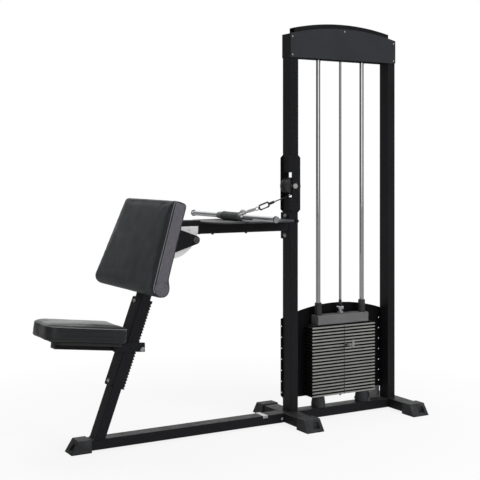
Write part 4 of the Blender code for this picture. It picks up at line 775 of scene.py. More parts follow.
FINISH = {
    "frame_coat": powder_finish(
        "satin_black_coat",
        coat=(0.0095, 0.0098, 0.0115),
        speck=(0.050, 0.050, 0.056),
        amount=0.75,
        rub=(0.050, 0.050, 0.054),
        dust=0.10,
        shine=0.22,
    ),
    "cover_coat": powder_finish(
        "fine_cover_coat",
        coat=(0.028, 0.0295, 0.033),
        speck=(0.060, 0.063, 0.068),
        amount=0.45,
        rub=(0.080, 0.080, 0.085),
        dust=0.06,
        shine=0.25,
    ),
    "foot_rubber": rubber_finish("foot_rubber", (0.025, 0.026, 0.028), (0.048, 0.049, 0.052), 480.0, 0.62),
    "grip_rubber": grip_finish(),
    "chrome": metal_finish("bright_chrome", (0.78, 0.79, 0.81), 0.05, 0.14),
    "brushed_steel": brushed_finish("head_steel", (0.225, 0.225, 0.228), (14.0, 500.0, 500.0), 0.45, 0.34),
    "zinc": metal_finish("zinc_plate", (0.60, 0.60, 0.61), 0.22, 0.42, tint=(0.8, 0.79, 0.76), metallic=0.6),
    "plate_coat": brushed_finish("plate_iron", (0.36, 0.36, 0.345), (18.0, 500.0, 900.0), 0.25, 0.44),
    "pale_sheet": powder_finish(
        "guard_white",
        coat=(0.74, 0.74, 0.74),
        speck=(0.82, 0.82, 0.82),
        amount=0.5,
        rub=(0.50, 0.50, 0.50),
        dust=0.10,
        shine=0.42,
    ),
    "upholstery": vinyl_finish("slate_vinyl", (0.0085, 0.0095, 0.0106), (0.0125, 0.0140, 0.0152), 0.50),
    "pad_board": board_finish(),
    "nylon": nylon_finish(),
    "cable_jacket": jacket_finish(),
}
SHROUD_COAT = powder_finish(
    "shroud_coat",
    coat=(0.0048, 0.0048, 0.0055),
    speck=(0.020, 0.020, 0.022),
    amount=0.6,
    rub=(0.020, 0.020, 0.022),
    dust=0.03,
    shine=0.14,
)
# A lighter coat and more top dust for the table: partly painted sheen that stands for the table top's grazing
# reflection.
TABLE_PAINTED_SHEEN_COAT = powder_finish(
    "table_painted_sheen_coat",
    coat=(0.050, 0.051, 0.055),
    speck=(0.075, 0.075, 0.080),
    amount=0.75,
    rub=(0.060, 0.060, 0.064),
    dust=0.20,
    shine=0.45,
)
ARM_PAD_VINYL = vinyl_finish(
    # The arm pad's sides take a lighter colour: painted light.
    "arm_pad_vinyl", (0.0200, 0.0250, 0.0285), (0.0265, 0.0325, 0.0365), 0.05, arm_pad_lit_sides
)
# Light vinyl for piping and seams: painted highlight lines along the pads' edges.
PIPING_HIGHLIGHT_VINYL = vinyl_finish("piping_highlight_vinyl", (0.15, 0.16, 0.165), (0.22, 0.23, 0.235), 0.30)
CLIP_STEEL = metal_finish("clip_steel", (0.24, 0.24, 0.25), 0.16, 0.34, tint=(0.6, 0.6, 0.6))
BLACK_BOLT = metal_finish("black_bolt", (0.10, 0.10, 0.11), 0.34, 0.55)
# Black for the plates' bosses, ends and bores: painted shade in the gaps and on the unlit ends.
PLATE_SHADE_BLACK = rubber_finish("plate_shade_black", (0.004, 0.004, 0.004), (0.007, 0.007, 0.007), 300.0, 0.7)
THREAD = rubber_finish("thread", (0.090, 0.096, 0.098), (0.14, 0.146, 0.148), 900.0, 0.6)
HUB_GREY = rubber_finish("hub_grey", (0.15, 0.16, 0.155), (0.24, 0.25, 0.245), 160.0, 0.42)
CAP_GREY = rubber_finish("cap_grey", (0.060, 0.062, 0.064), (0.110, 0.112, 0.115), 300.0, 0.42)
PLUG = rubber_finish("plug_plastic", (0.020, 0.020, 0.022), (0.034, 0.034, 0.036), 380.0, 0.5)


def finish_packed_nodes():
    for row in frame["record"]["subparts"]:
        node = frame["nodes"][row["node"]]
        for slot in node.material_slots:
            slot.material = FINISH[row["material_slot"]]
    for node, coat in (("shroud", SHROUD_COAT), ("table_top", TABLE_PAINTED_SHEEN_COAT)):
        for slot in frame["nodes"][node].material_slots:
            slot.material = coat


def add_piece(name, shape, finishes, body, smooth=35):
    """Puts a finished shape in the scene on a body. Finishes may be one material or a list."""
    merge_close(shape, 0.000005)
    face_out(shape)
    mesh = as_mesh(shape, name)
    for finish in finishes if isinstance(finishes, list) else [finishes]:
        mesh.materials.append(finish)
    mesh.shade_smooth()
    mesh.set_sharp_from_angle(angle=math.radians(smooth))
    piece = in_scene(name, mesh)
    if body:
        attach(piece, body)
    return piece


# Weight plates


def weight_plate(low, shift):
    """One plate: a ground rim, and a narrower boss that keeps the next plate off it. Boss, ledges, ends and
    bores are black: painted shade for the gaps between plates and the unlit ends.
    """
    rim_top = low + PLATE_RIM
    shape = block(
        (STACK_X - PLATE_HALF_LENGTH + shift, -PLATE_HALF_WIDTH, low + 0.0001),
        (STACK_X + PLATE_HALF_LENGTH + shift, PLATE_HALF_WIDTH, rim_top),
    )
    eased(shape, 0.0012, 2)
    shape.faces.ensure_lookup_table()
    upward = [face for face in shape.faces if face.normal.z > 0.9]
    top = [face for face in upward if face.calc_center_median().z > rim_top - 0.0001]
    bmesh.ops.inset_region(shape, faces=top, thickness=PLATE_STEP, use_even_offset=True)
    drawn_up(shape, top, PLATE_PITCH - PLATE_RIM - 0.0001)
    bmesh.ops.delete(shape, geom=top, context="FACES_ONLY")
    # All faces but the rim's near and far faces take the black: painted shade.
    shade_within = PLATE_HALF_WIDTH - 0.0014
    for face in shape.faces:
        if abs(face.calc_center_median().y) < shade_within:
            face.material_index = 1
    return shape


def add_weight_plates():
    near = -PLATE_HALF_WIDTH
    split = PLATE_COUNT - LIFTED_COUNT
    groups = (
        ("single_plates_resting", "resting_plates", "frame", range(split)),
        ("single_plates_lifted", "lifted_plates", "stack", range(split, PLATE_COUNT)),
    )
    for name, node, body, numbers in groups:
        plates, drills = [], []
        for k in numbers:
            low = STACK_BOTTOM + k * PLATE_PITCH
            plates.append(weight_plate(low, PLATE_SHIFTS[k % len(PLATE_SHIFTS)]))
            drill = lathe([(0.0, -0.010), (PIN_HOLE, -0.010), (PIN_HOLE, 0.012), (0.0, 0.012)], 16)
            drills.append(set_on(drill, (STACK_X, near, low + PLATE_RIM / 2), (0, -1, 0)))
        shape = bored(together(plates), together(drills))
        piece = add_piece(name, shape, [FINISH["plate_coat"], PLATE_SHADE_BLACK], body)
        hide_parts(node)


# Pads


def copied(node):
    shape = bmesh.new()
    shape.from_mesh(frame["nodes"][node].data)
    merge_close(shape)
    face_out(shape)
    return shape


def remeshed(shape, size):
    obj = scratch_object(shape, "remesh")
    step = obj.modifiers.new("even_mesh", "REMESH")
    step.mode = "VOXEL"
    step.voxel_size = size
    return from_object(obj)


def stuffed(shape, pressure, limit, is_held):
    """Swells a closed cover with pressure. No point moves inwards or past the limit, and held ones stay."""
    shape.normal_update()
    start = [vert.co.copy() for vert in shape.verts]
    outwards = [vert.normal.copy() for vert in shape.verts]
    held = [is_held(place) for place in start]
    obj = scratch_object(shape, "stuffing")
    group = obj.vertex_groups.new(name="held")
    group.add([k for k, flag in enumerate(held) if flag], 1.0, "REPLACE")
    cloth = obj.modifiers.new("stuffing", "CLOTH")
    cloth.settings.vertex_group_mass = "held"
    cloth.settings.use_pressure = True
    cloth.settings.uniform_pressure_force = pressure
    cloth.settings.effector_weights.gravity = 0.0
    cloth.settings.quality = 5
    cloth.settings.mass = 0.3
    cloth.settings.tension_stiffness = 18.0
    cloth.settings.compression_stiffness = 18.0
    cloth.settings.bending_stiffness = 1.5
    cloth.collision_settings.use_collision = False
    cloth.point_cache.frame_start = 1
    cloth.point_cache.frame_end = 20
    scene = bpy.context.scene
    for number in range(1, 21):
        scene.frame_set(number)
    swollen = from_object(obj)
    scene.frame_set(1)
    for vert, before, out, still in zip(swollen.verts, start, outwards, held):
        move = vert.co - before
        move -= out * min(move.dot(out), 0.0)
        if move.length > limit:
            move = move.normalized() * limit
        vert.co = before if still else before + move
    return swollen


def stuffed_pad(name, node, body, finish, size, limit, shrink, is_held, fill):
    """A cushion in its node's place: shrunk, meshed evenly, swollen again, and made smooth."""
    shape = copied(node)
    for vert in shape.verts:
        if not is_held(vert.co):
            vert.co -= vert.normal * shrink
    shape = remeshed(shape, size)
    shape = stuffed(shape, STUFFING_PRESSURE, limit, is_held)
    free = [vert for vert in shape.verts if not is_held(vert.co)]
    for _ in range(3):
        bmesh.ops.smooth_vert(
            shape, verts=free, factor=0.5, use_axis_x=True, use_axis_y=True, use_axis_z=True
        )
    surface = BVHTree.FromBMesh(shape)
    piece = add_piece(name, shape, finish, body, 180)
    finer = piece.modifiers.new("finer", "SUBSURF")
    finer.levels = 1
    finer.render_levels = 1
    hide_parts(node)
    return surface


def on_surface(surface, points, stand):
    """Each point brought onto a pad's surface, and lifted off it a little."""
    laid = []
    for point in points:
        place, normal, _, _ = surface.find_nearest(point)
        laid.append((place + normal * stand, normal))
    return laid


def add_piping(name, surface, points, body, finish, closed=True, radius=PIPING_RADIUS):
    laid = [place for place, _ in on_surface(surface, evenly(points, 0.006, closed), radius * 0.35)]
    for _ in range(3):
        count = len(laid)
        eased_line = [(laid[k - 1] + laid[k] * 2 + laid[(k + 1) % count]) / 4 for k in range(count)]
        laid = eased_line if closed else [laid[0]] + eased_line[1:-1] + [laid[-1]]
    add_piece(name, wire(laid, radius, closed), finish, body)


def add_stitches(name, surface, points, body, closed=True):
    """A row of short raised stitches, each drawn down at its ends."""
    laid = on_surface(surface, evenly(points, STITCH_PITCH, closed), 0.0)
    row = []
    for (here, normal), (ahead, _) in zip(laid, laid[1:]):
        run = (ahead - here).normalized()
        side = normal.cross(run).normalized()
        turn = Matrix((run, side, normal)).transposed().to_4x4()
        size = Matrix.Diagonal((STITCH_LENGTH / 2, 0.0006, 0.0005, 1.0))
        stitch = bmesh.new()
        lay = Matrix.Translation(here) @ turn @ size
        bmesh.ops.create_icosphere(stitch, subdivisions=1, radius=1.0, matrix=lay)
        row.append(stitch)
    add_piece(name, together(row), THREAD, body, 60)


def pad_half(up):
    share = (up - PAD_LOW) / (PAD_TOP - PAD_LOW)
    return PAD_HALF_BOTTOM + (PAD_HALF_TOP - PAD_HALF_BOTTOM) * share


def pad_round_line(first, last, inset):
    """Part of the roll's end in the post's frame, as (across, up) points."""
    middle, wide = (PAD_FRONT + PAD_ROLL_BACK) / 2, (PAD_ROLL_BACK - PAD_FRONT) / 2 - inset
    turns = [first + (last - first) * k / 16 for k in range(17)]
    up = PAD_LOW + PAD_ROLL
    return [(middle + wide * math.cos(turn), up + (PAD_ROLL - inset) * math.sin(turn)) for turn in turns]


def pad_front_line(inset, low):
    """The arm pad's front edge, from a height on the roll up round its top corner."""
    front, top = PAD_FRONT + inset, PAD_TOP - inset
    line = [(front, low), (front, (low + top) / 2), (front, top - 0.014)]
    return line + corner_arc((front + 0.014, top - 0.014), 0.014, math.pi, math.pi / 2, 4)


def pad_back_line(inset):
    """The arm pad's top and back edge, down to the roll."""
    back, top = PAD_BACK - inset, PAD_TOP - inset
    waist = PAD_LOW + 2 * PAD_ROLL
    line = [(PAD_FRONT + 0.014 + inset, top), (back - 0.006, top), (back, top - 0.006), (back, waist + 0.010)]
    return line + [(back + 0.006, waist - 0.010)]


def add_arm_pad():
    post_back = POST.inverted()

    def rests_on_board(place):
        local = post_back @ place
        return local.x > PAD_BACK - 0.003 and local.z > PAD_LOW + 2 * PAD_ROLL + 0.015

    vinyl, sizes = ARM_PAD_VINYL, (PAD_MESH, PAD_SWELL, PAD_SHRINK)
    surface = stuffed_pad("arm_pad_cover", "arm_pad", "frame", vinyl, *sizes, rests_on_board, PAD_FILL)
    roll_up = PAD_LOW + PAD_ROLL
    for side, way in (("near", -1), ("far", 1)):

        def beside(line, out):
            return [POST @ Vector((x, way * (pad_half(z) + out), z)) for x, z in line]

        def piped(label, line, finish, closed=False, radius=PIPING_RADIUS):
            add_piping("arm_pad_" + label + side, surface, line, "frame", finish, closed, radius)

        edge = pad_round_line(-0.75 * math.pi, -math.pi, 0.001) + pad_front_line(0.001, roll_up + 0.004)
        # The front piping and seam are light: painted highlight lines.
        piped("piping_", beside(edge, -0.003), PIPING_HIGHLIGHT_VINYL)
        inner = pad_front_line(0.0105, roll_up + PAD_ROLL * 0.9)
        piped("seam_", beside(inner, 0.004), PIPING_HIGHLIGHT_VINYL, radius=0.0016)
        rest = pad_back_line(0.001) + pad_round_line(0.2, -0.75 * math.pi, 0.001)
        piped("back_piping_", beside(rest, -0.003), vinyl)
        disc = pad_round_line(0.0, 2 * math.pi, 0.0055)[:-1]
        piped("disc_seam_", beside(disc, 0.004), vinyl, closed=True, radius=0.0012)
        ends = (PAD_LOW + PAD_ROLL, PAD_TOP - 0.01)
        face_line = [POST @ Vector((PAD_FRONT, way * (pad_half(z) - 0.016), z)) for z in ends]
        add_stitches("arm_pad_face_stitches_" + side, surface, face_line, "frame", closed=False)


def seat_plan(inset, height):
    corner, post_corner = SEAT_CORNER - inset, max(SEAT_POST_CORNER - inset, 0.006)
    plan = rounded_plan(SEAT_HALF_LENGTH - inset, SEAT_HALF_WIDTH - inset, corner, 8, post_corner)
    return [SEAT @ Vector((x, y, height)) for x, y in plan]


def add_seat_pad():
    seat_back = SEAT.inverted()

    def rests_on_board(place):
        return (seat_back @ place).z < SEAT_HELD

    vinyl, sizes = FINISH["upholstery"], (SEAT_MESH, SEAT_SWELL, SEAT_SHRINK)
    surface = stuffed_pad("seat_pad_cover", "seat_pad", "seat", vinyl, *sizes, rests_on_board, PAD_FILL)
    # The top piping is light: a painted highlight line.
    add_piping("seat_piping_top", surface, seat_plan(0.003, SEAT_THICK - 0.009), "seat", PIPING_HIGHLIGHT_VINYL)
    add_piping("seat_piping_foot", surface, seat_plan(0.002, 0.010), "seat", vinyl)
    add_stitches("seat_top_stitches", surface, seat_plan(0.016, SEAT_THICK + 0.004), "seat")
    add_stitches("seat_side_stitches", surface, seat_plan(0.0, SEAT_THICK - 0.019), "seat")


def add_seat_board():
    """The painted board under the seat pad, set in from the pad's edge, with round corners."""
    low, high, half, thick = SEAT_BOARD
    middle = (low + high) / 2
    plan = [(x + middle, y) for x, y in rounded_plan((high - low) / 2, half, 0.030, 6)]
    shape = bmesh.new()
    foot = shape.faces.new([shape.verts.new((x, y, -thick)) for x, y in plan])
    drawn_up(shape, [foot], thick - 0.0003, use_keep_orig=True)
    rims = [edge for edge in shape.edges if len(edge.link_faces) == 2 and edge.calc_face_angle(0.0) > 1.0]
    board = placed(eased(shape, 0.0015, 2, rims), SEAT)
    piece = add_piece("seat_board_painted", board, FINISH["pad_board"], "seat")
    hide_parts("seat_board")


# Cables


def run_of_points(start, end, count):
    return [Vector(start).lerp(Vector(end), k / count) for k in range(count + 1)]


def add_lift_cables():
    """Two cables from the head plate's socket up into the top beam."""
    lines = []
    for y in (-CABLE_OFFSET, CABLE_OFFSET):
        points = run_of_points((STACK_X, y, LIFT_CABLE_LOW + 0.008), (STACK_X, y, LIFT_CABLE_HIGH), 70)
        lines.append(wire(points, CABLE_RADIUS))
        collar = lathe([(0.0, 0.0), (0.0048, 0.0), (0.0048, 0.020), (0.0040, 0.024), (0.0, 0.024)], 20)
        lines.append(placed(collar, Matrix.Translation((STACK_X, y, LIFT_CABLE_LOW + 0.012))))
    socket = block(
        (STACK_X - 0.0055, -0.012, LIFT_CABLE_LOW + 0.0002), (STACK_X + 0.0055, 0.012, LIFT_CABLE_LOW + 0.016)
    )
    lines.append(eased(socket, 0.002, 2))
    piece = add_piece("lift_cable_pair", together(lines), FINISH["cable_jacket"], None)
    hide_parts("lift_cables")
    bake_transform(piece)


def add_handle_cable():
    """The free end of the curl cable, from the ferrule into the upright's slot."""
    points = []
    for k in range(31):
        share = k / 30
        reach = HANDLE_CABLE_START + (HANDLE_CABLE_END - HANDLE_CABLE_START) * share
        points.append(CLIP @ Vector((reach, -CABLE_OFFSET * share, 0.0)))
    cable = wire(points, CABLE_RADIUS)
    piece = add_piece("curl_cable_end", cable, FINISH["cable_jacket"], None)
    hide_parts("handle_cable")
    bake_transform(piece)


def add_press_cable_rise():
    """The short length of press-down cable between its pulley and its ferrule."""
    x, y, z = PRESS_PLACE
    points = run_of_points((x, y, z - 0.001), (x, y, z + 0.022), 30)
    cable = wire(points, CABLE_RADIUS * 1.04)
    piece = add_piece("press_cable_rise", cable, FINISH["cable_jacket"], None)
    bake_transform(piece)


# Curl handle's small parts


def add_snap_clip():
    """A clip bent from round wire, with a sprung gate on its lower side."""
    half = CLIP_WIDTH / 2 - CLIP_WIRE
    gate_low = (CLIP_LENGTH - GATE_LENGTH) / 2
    gate_high = gate_low + GATE_LENGTH
    bend = [CLIP @ Vector((u, 0.0, v)) for u, v in clip_path(gate_low, gate_high, half)]
    pieces = [wire(bend, CLIP_WIRE, sides=4)]
    gate = [(0.0, 0.0), (0.0034, 0.001), (0.0034, GATE_LENGTH - 0.001)]
    gate += [(0.0026, GATE_LENGTH), (0.0, GATE_LENGTH)]
    lay = CLIP @ facing((gate_low, 0.0, -half), (1, 0, 0))
    pieces.append(placed(lathe(gate, 20), lay))
    for reach in (gate_low + 0.003, gate_high - 0.003):
        rivet = [(0.0, -0.0042), (0.0016, -0.0042), (0.0016, 0.0042), (0.0, 0.0042)]
        pieces.append(placed(lathe(rivet, 12), CLIP @ facing((reach, 0.0, -half), (0, 1, 0))))
    piece = add_piece("snap_clip", together(pieces), CLIP_STEEL, "handle")
    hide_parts("carabiner")


def clip_path(gate_low, gate_high, half):
    """The wire's path from one end of the gate round to the other."""
    middle, corner, quarter = CLIP_LENGTH / 2, CLIP_CORNER, math.pi / 2
    reach, side = middle - CLIP_WIRE - corner, half - corner
    path = [(gate_high, -half)]
    path += [(middle + u, v) for u, v in corner_arc((reach, -side), corner, -quarter, 0.0, 6)]
    path += [(middle + u, v) for u, v in corner_arc((reach, side), corner, 0.0, quarter, 6)]
    path += [(middle + u, v) for u, v in corner_arc((-reach, side), corner, quarter, 2 * quarter, 6)]
    path += [(middle + u, v) for u, v in corner_arc((-reach, -side), corner, 2 * quarter, 3 * quarter, 6)]
    return path + [(gate_low, -half)]


def on_bar(shape, reach):
    """Carries a turned piece to a place along the curl bar, facing the bar's end on that side."""
    return set_on(shape, BAR_MIDDLE + Vector((0, reach, 0)), (0, math.copysign(1, reach), 0))


def add_handle_fittings():
    """The ferrule's light crimp, and end rings on the grip sleeve."""
    crimp = [(0.0042, 0.0), (0.0056, 0.001), (0.0056, 0.004), (0.0050, 0.005)]
    crimp += [(0.0056, 0.006), (0.0056, 0.009), (0.0042, 0.010)]
    crimped = placed(lathe(crimp, 24), CLIP @ facing((0.0975, 0.0, 0.0), (1, 0, 0)))
    add_piece("cable_crimp", crimped, FINISH["zinc"], "handle")
    ring = [(0.0205, 0.0), (0.0232, 0.0008), (0.0236, 0.0035), (0.0232, 0.0062), (0.0205, 0.007)]
    collars = [on_bar(lathe(ring, 40), way * (SLEEVE_HALF - 0.007)) for way in (-1, 1)]
    add_piece("sleeve_rings", together(collars), FINISH["grip_rubber"], "handle")


def add_bar_trims():
    """A tapered hub past the sleeve's far end, turned rings at its near end, a dark ring at each bar end."""
    start = SLEEVE_HALF + 0.0002
    hub = [(0.0142, 0.0), (0.0206, 0.0), (0.0210, 0.004), (0.0188, 0.030), (0.0172, 0.058)]
    hub += [(0.0150, 0.062), (0.0142, 0.062)]
    add_piece("sleeve_hub", on_bar(lathe(hub, 40), start), HUB_GREY, "handle")
    ring = [(0.0142, 0.0), (0.0190, 0.0), (0.0204, 0.0016), (0.0204, 0.0072), (0.0190, 0.0088)]
    ring += [(0.0142, 0.0088)]
    rings = [on_bar(lathe(ring, 40), -start - step) for step in (0.0, 0.0135, 0.0270)]
    add_piece("turned_rings", together(rings), FINISH["chrome"], "handle")
    end_ring = [(0.0166, 0.0), (0.0174, 0.0006), (0.0177, 0.0040), (0.0174, 0.0074), (0.0166, 0.0080)]
    ends = [on_bar(lathe(end_ring, 40), way * (BAR_HALF - 0.0105)) for way in (-1, 1)]
    add_piece("bar_end_rings", together(ends), PLUG, "handle")


# Fasteners, plugs and welds


def hexagon(radius, height, middle):
    """A six-sided bar along Z, with its middle at a height."""
    bar = bmesh.new()
    bmesh.ops.create_cone(
        bar,
        cap_ends=True,
        segments=6,
        radius1=radius,
        radius2=radius,
        depth=height,
        matrix=Matrix.Translation((0, 0, middle)),
    )
    return bar


def hex_bolt(radius, height, washer=1.35):
    """A washer and a hexagonal head with its top corners turned off."""
    wide = radius * washer
    disc = lathe([(0.0, 0.0), (wide, 0.0), (wide, 0.0012), (wide - 0.0004, 0.0016), (0.0, 0.0016)])
    head = hexagon(radius, height, height / 2 + 0.0014)
    rims = [edge for edge in head.edges if all(vert.co.z > height / 2 + 0.002 for vert in edge.verts)]
    eased(head, radius * 0.14, 2, rims)
    return together([disc, head])


def button_screw(radius, height):
    """A domed screw head with a hexagonal socket."""
    dome = [(0.0, 0.0), (radius, 0.0), (radius, height * 0.25)]
    dome += [(radius * math.cos(turn), height * (0.25 + 0.75 * math.sin(turn))) for turn in (0.5, 0.9, 1.2)]
    dome += [(0.0, height)]
    shape = lathe(dome, 24)
    return bored(shape, hexagon(radius * 0.42, height, height))


def add_fasteners():
    bright = [set_on(hex_bolt(*FLANGE_HEAD), (FLANGE_FACE, 0.0, z), (-1, 0, 0)) for z in FLANGE_BOLTS]
    bright.append(set_on(button_screw(*TUBE_HEAD), (TUBE_BOLT[0], -HALF_WIDTH, TUBE_BOLT[1]), (0, -1, 0)))
    off_strip = POST.to_3x3() @ Vector((-1, 0, 0))
    for up in STRIP_BOLTS:
        bright.append(set_on(hex_bolt(*STRIP_HEAD), POST @ Vector((STRIP_FACE, 0.0, up)), off_strip))
    add_piece("flange_and_strip_bolts", together(bright), FINISH["zinc"], "frame")

    spots = [(x, COVER_FACE, z, COVER_HEAD) for x in COVER_SCREW_COLUMNS for z in COVER_SCREW_ROWS]
    spots.append((STACK_X, COVER_FACE, COVER_CROWN, COVER_HEAD))
    spots.append((GUARD_SCREW[0], GUARD_FACE, GUARD_SCREW[1], GUARD_HEAD))
    covers = []
    for x, y, z, head in spots:
        for way in (-1, 1):
            covers.append(set_on(button_screw(*head), (x, way * y, z), (0, way, 0)))
    add_piece("cover_screws", together(covers), FINISH["zinc"], "frame")

    black = [set_on(hex_bolt(*BEAM_HEAD), (x, 0.0, BEAM_BOTTOM), (0, 0, -1)) for x in BEAM_BOLTS]
    for way in (-1, 1):
        rod_foot = (STACK_X + way * ROD_REACH, 0.0, RAIL_BOTTOM)
        black.append(set_on(hex_bolt(*ROD_HEAD), rod_foot, (0, 0, -1)))
    for x in (UPRIGHT_X, UPRIGHT_X + TOWER_SPACING):
        for z in SHROUD_SCREW_ROWS:
            black.append(set_on(button_screw(*SHROUD_HEAD), (x, COVER_FACE, z), (0, 1, 0)))
    add_piece("black_bolts", together(black), BLACK_BOLT, "frame")


def add_joint_plate():
    """A thin light strap across the floor tube, turned down over both of its sides."""
    strap = block((STRAP[0], -0.0415, BASE_TOP - 0.012), (STRAP[1], 0.0415, BASE_TOP + 0.0014))
    eased(strap, 0.0012, 2)
    hollow = block((STRAP[0] - 0.010, -0.0400, 0.030), (STRAP[1] + 0.010, 0.0400, BASE_TOP))
    add_piece("floor_tube_strap", bored(strap, hollow), [FINISH["zinc"], FINISH["zinc"]], "frame")


def add_shroud_bracket():
    """A folded plate that holds the shroud's foot on the base rail."""
    low, high, face, top = SHROUD_BRACKET
    wall = 0.003
    upright = block((low, face - wall, BASE_TOP + 0.0002), (high, face, top))
    ledge = block((low, face - 0.018, BASE_TOP + 0.0002), (high, face - 0.001, BASE_TOP + wall))
    folded = together([eased(upright, 0.0008, 2), eased(ledge, 0.0008, 2)])
    add_piece("shroud_bracket", folded, FINISH["brushed_steel"], "frame")


def add_plugs():
    """Plastic plugs in the open tube ends."""
    caps = []
    for x in (UPRIGHT_X, UPRIGHT_X + TOWER_SPACING):
        cap = block((x - 0.0218, -0.0368, UPRIGHT_TOP - 0.012), (x + 0.0218, 0.0368, UPRIGHT_TOP - 0.0004))
        caps.append(eased(cap, 0.002, 2))
    add_piece("tube_plugs", together(caps), PLUG, "frame")
    dome = [(0.0, -0.010), (0.0140, -0.010), (0.0140, 0.0002), (0.0168, 0.0004), (0.0168, 0.0026)]
    dome += [(0.0158, 0.0036), (0.0132, 0.0036), (0.0120, 0.0024), (0.0070, 0.0024)]
    dome += [(0.0058, 0.0042), (0.0, 0.0048)]
    x, z = CROSS_TUBE
    domes = [set_on(lathe(dome, 32), (x, way * CROSS_TUBE_HALF, z), (0, way, 0)) for way in (-1, 1)]
    add_piece("cross_tube_plugs", together(domes), CAP_GREY, "frame")
    low, high = SEAT_BEAM
    end, wall = SEAT_BEAM_END, 0.0035
    cap = block((end - 0.0040, -0.0300, low), (end - 0.0002, 0.0300, high))
    inner = block((end - 0.0010, wall - 0.0300, low + wall), (end + 0.012, 0.0300 - wall, high - wall))
    plug = together([eased(cap, 0.0015, 2), eased(inner, 0.0008, 1)])
    add_piece("seat_beam_plug", placed(plug, SEAT), PLUG, "seat")


def weld_bead(points, closed=True):
    """A weld with its ripples, along a line."""
    spots = evenly(points, WELD_RIPPLE / 2, closed)
    return wire(spots, WELD_RADIUS, closed, (1.0, 0.78), 2)


def add_welds():
    beads = []
    feet = [(x, BASE_TOP + WELD_STAND, HALF_DEPTH) for x in (UPRIGHT_X, UPRIGHT_X + TOWER_SPACING)]
    feet.append((POST_FOOT_X, BASE_TOP + WELD_STAND, POST_HALF_LEVEL))
    feet.append((POST_HEAD_X, BRIDGE_BOTTOM - WELD_STAND, POST_HALF_LEVEL))
    for x, z, half in feet:
        plan = rounded_plan(half, HALF_WIDTH, WELD_CORNER, 4)
        beads.append(weld_bead([(x + u, v, z) for u, v in plan]))
    middle = (BEAM_BOTTOM + BEAM_TOP) / 2
    plan = rounded_plan(HALF_WIDTH, (BEAM_TOP - BEAM_BOTTOM) / 2, WELD_CORNER, 4)
    beads.append(weld_bead([(FLANGE_FACE - WELD_STAND, u, middle + v) for u, v in plan]))
    turns = corner_arc(CROSS_TUBE, CROSS_TUBE_RADIUS, math.radians(-75), math.radians(65), 10)
    for y in CROSS_TUBE_WELDS:
        beads.append(weld_bead([(u, y, v) for u, v in turns], closed=False))
    add_piece("weld_beads", together(beads), FINISH["frame_coat"], "frame", 60)


def add_sheave_hubs():
    """A bearing's steel ring on each face of a sheave, and the shield inside it."""
    face = [(0.0068, -0.0005), (0.0155, -0.0005), (0.0155, 0.0006), (0.0148, 0.0010)]
    face += [(0.0128, 0.0010), (0.0124, 0.0004), (0.0090, 0.0004), (0.0086, 0.0010), (0.0068, 0.0010)]
    for body, x, y, z, half in WHEELS:
        rings = [set_on(lathe(face, 32), (x, y + way * half, z), (0, way, 0)) for way in (-1, 1)]
        add_piece(body + "_bearings", together(rings), FINISH["chrome"], body)


# Stage


def add_camera():
    lens = bpy.data.cameras.new("photo_view")
    lens.lens = CAMERA_LENS
    lens.sensor_width = 36.0
    lens.shift_y = CAMERA_RISE
    camera = in_scene("photo_view", lens)
    camera.location = CAMERA_PLACE
    camera.rotation_euler = (math.pi / 2, 0.0, CAMERA_TURN)
    bpy.context.scene.camera = camera


def add_lamp(name, place, target, size, share):
    """A soft square lamp that gives a share of full light where it points, and no shine."""
    reach = Vector(target) - Vector(place)
    lamp = bpy.data.lights.new(name, "AREA")
    lamp.shape = "SQUARE"
    lamp.size = size
    lamp.energy = share * math.pi**2 * reach.length_squared
    obj = in_scene(name, lamp)
    obj.visible_glossy = False
    obj.matrix_world = Matrix.Translation(place) @ reach.to_track_quat("-Z", "Y").to_matrix().to_4x4()


def seen_directly(tree):
    """Two shares: what the camera or glass sees, and what mirrors see too. The light itself gets nought."""
    path = add_node(tree, "LightPath").outputs
    straight = maths(tree, "MAXIMUM", path["Is Camera Ray"], path["Is Transmission Ray"])
    return straight, maths(tree, "MAXIMUM", straight, path["Is Glossy Ray"])


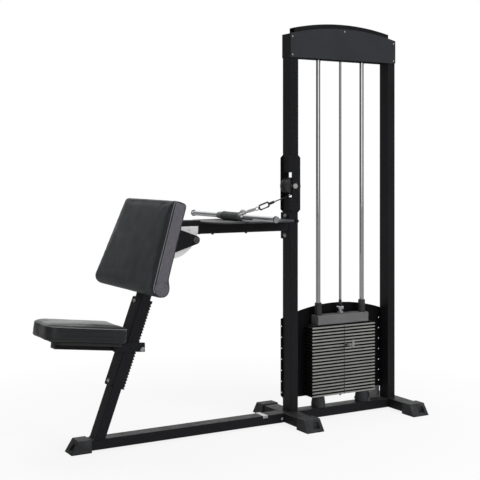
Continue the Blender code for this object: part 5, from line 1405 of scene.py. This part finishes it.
def add_world():
    """A white studio. What shines sees a dark room in front, white behind and one bright panel."""
    world = bpy.data.worlds.new("studio")
    bpy.context.scene.world = world
    world.use_nodes = True
    tree = world.node_tree
    tree.nodes.clear()
    where = add_node(tree, "TexCoord").outputs["Generated"]
    lean = dotted(tree, where, (0.7, 0.7, 0.6))
    behind = spread(tree, lean, 0.45, 0.95, 0.12, 1.0)
    panel = spread(tree, dotted(tree, where, PANEL_WAY), 0.90, 0.97, 0.0, 1.0)
    studio = plus(tree, behind, panel)
    straight, direct = seen_directly(tree)
    lit, mirrored, shown = (
        add_node(tree, "Background", {"Color": WHITE, "Strength": strength}).outputs[0]
        for strength in (0.30, studio, 1.0)
    )
    first = add_node(tree, "MixShader", {0: direct, 1: lit, 2: mirrored}).outputs[0]
    last = add_node(tree, "MixShader", {0: straight, 1: first, 2: shown}).outputs[0]
    add_node(tree, "OutputWorld", {"Surface": last})


def add_floor():
    """A pale floor that keeps the machine's shadow and fades to plain white further off."""
    shape = bmesh.new()
    bmesh.ops.create_circle(shape, cap_ends=True, segments=96, radius=FLOOR_RADIUS)
    mesh = as_mesh(shape, "floor")
    made = bpy.data.materials.new("pale_floor")
    made.use_nodes = True
    tree = made.node_tree
    tree.nodes.clear()
    where = add_node(tree, "TexCoord").outputs["Object"]
    away = add_node(tree, "VectorMath", {0: where}, operation="LENGTH").outputs["Value"]
    fade = spread(tree, away, *FLOOR_FADE, 0.85, 1.0)
    straight, direct = seen_directly(tree)
    shade = times(tree, direct, fade)
    plain = add_node(tree, "BsdfDiffuse", {"Color": (0.80, 0.80, 0.80)})
    glow = spread(tree, straight, 0.0, 1.0, 0.30, 1.0)
    white = add_node(tree, "Emission", {"Color": WHITE, "Strength": glow})
    both = add_node(tree, "MixShader", {0: shade, 1: plain.outputs[0], 2: white.outputs[0]})
    add_node(tree, "OutputMaterial", {"Surface": both.outputs[0]})
    mesh.materials.append(made)
    floor = in_scene("floor", mesh)


def main():
    bpy.context.scene.view_settings.view_transform = "Standard"
    add_camera()
    add_world()
    add_floor()
    for lamp in LAMPS:
        add_lamp(*lamp)
    finish_packed_nodes()
    add_handle_cable()
    add_lift_cables()
    add_press_cable_rise()
    add_weight_plates()
    add_arm_pad()
    add_seat_pad()
    add_seat_board()
    add_snap_clip()
    add_handle_fittings()
    add_bar_trims()
    add_fasteners()
    add_joint_plate()
    add_shroud_bracket()
    add_plugs()
    add_welds()
    add_sheave_hubs()


main()
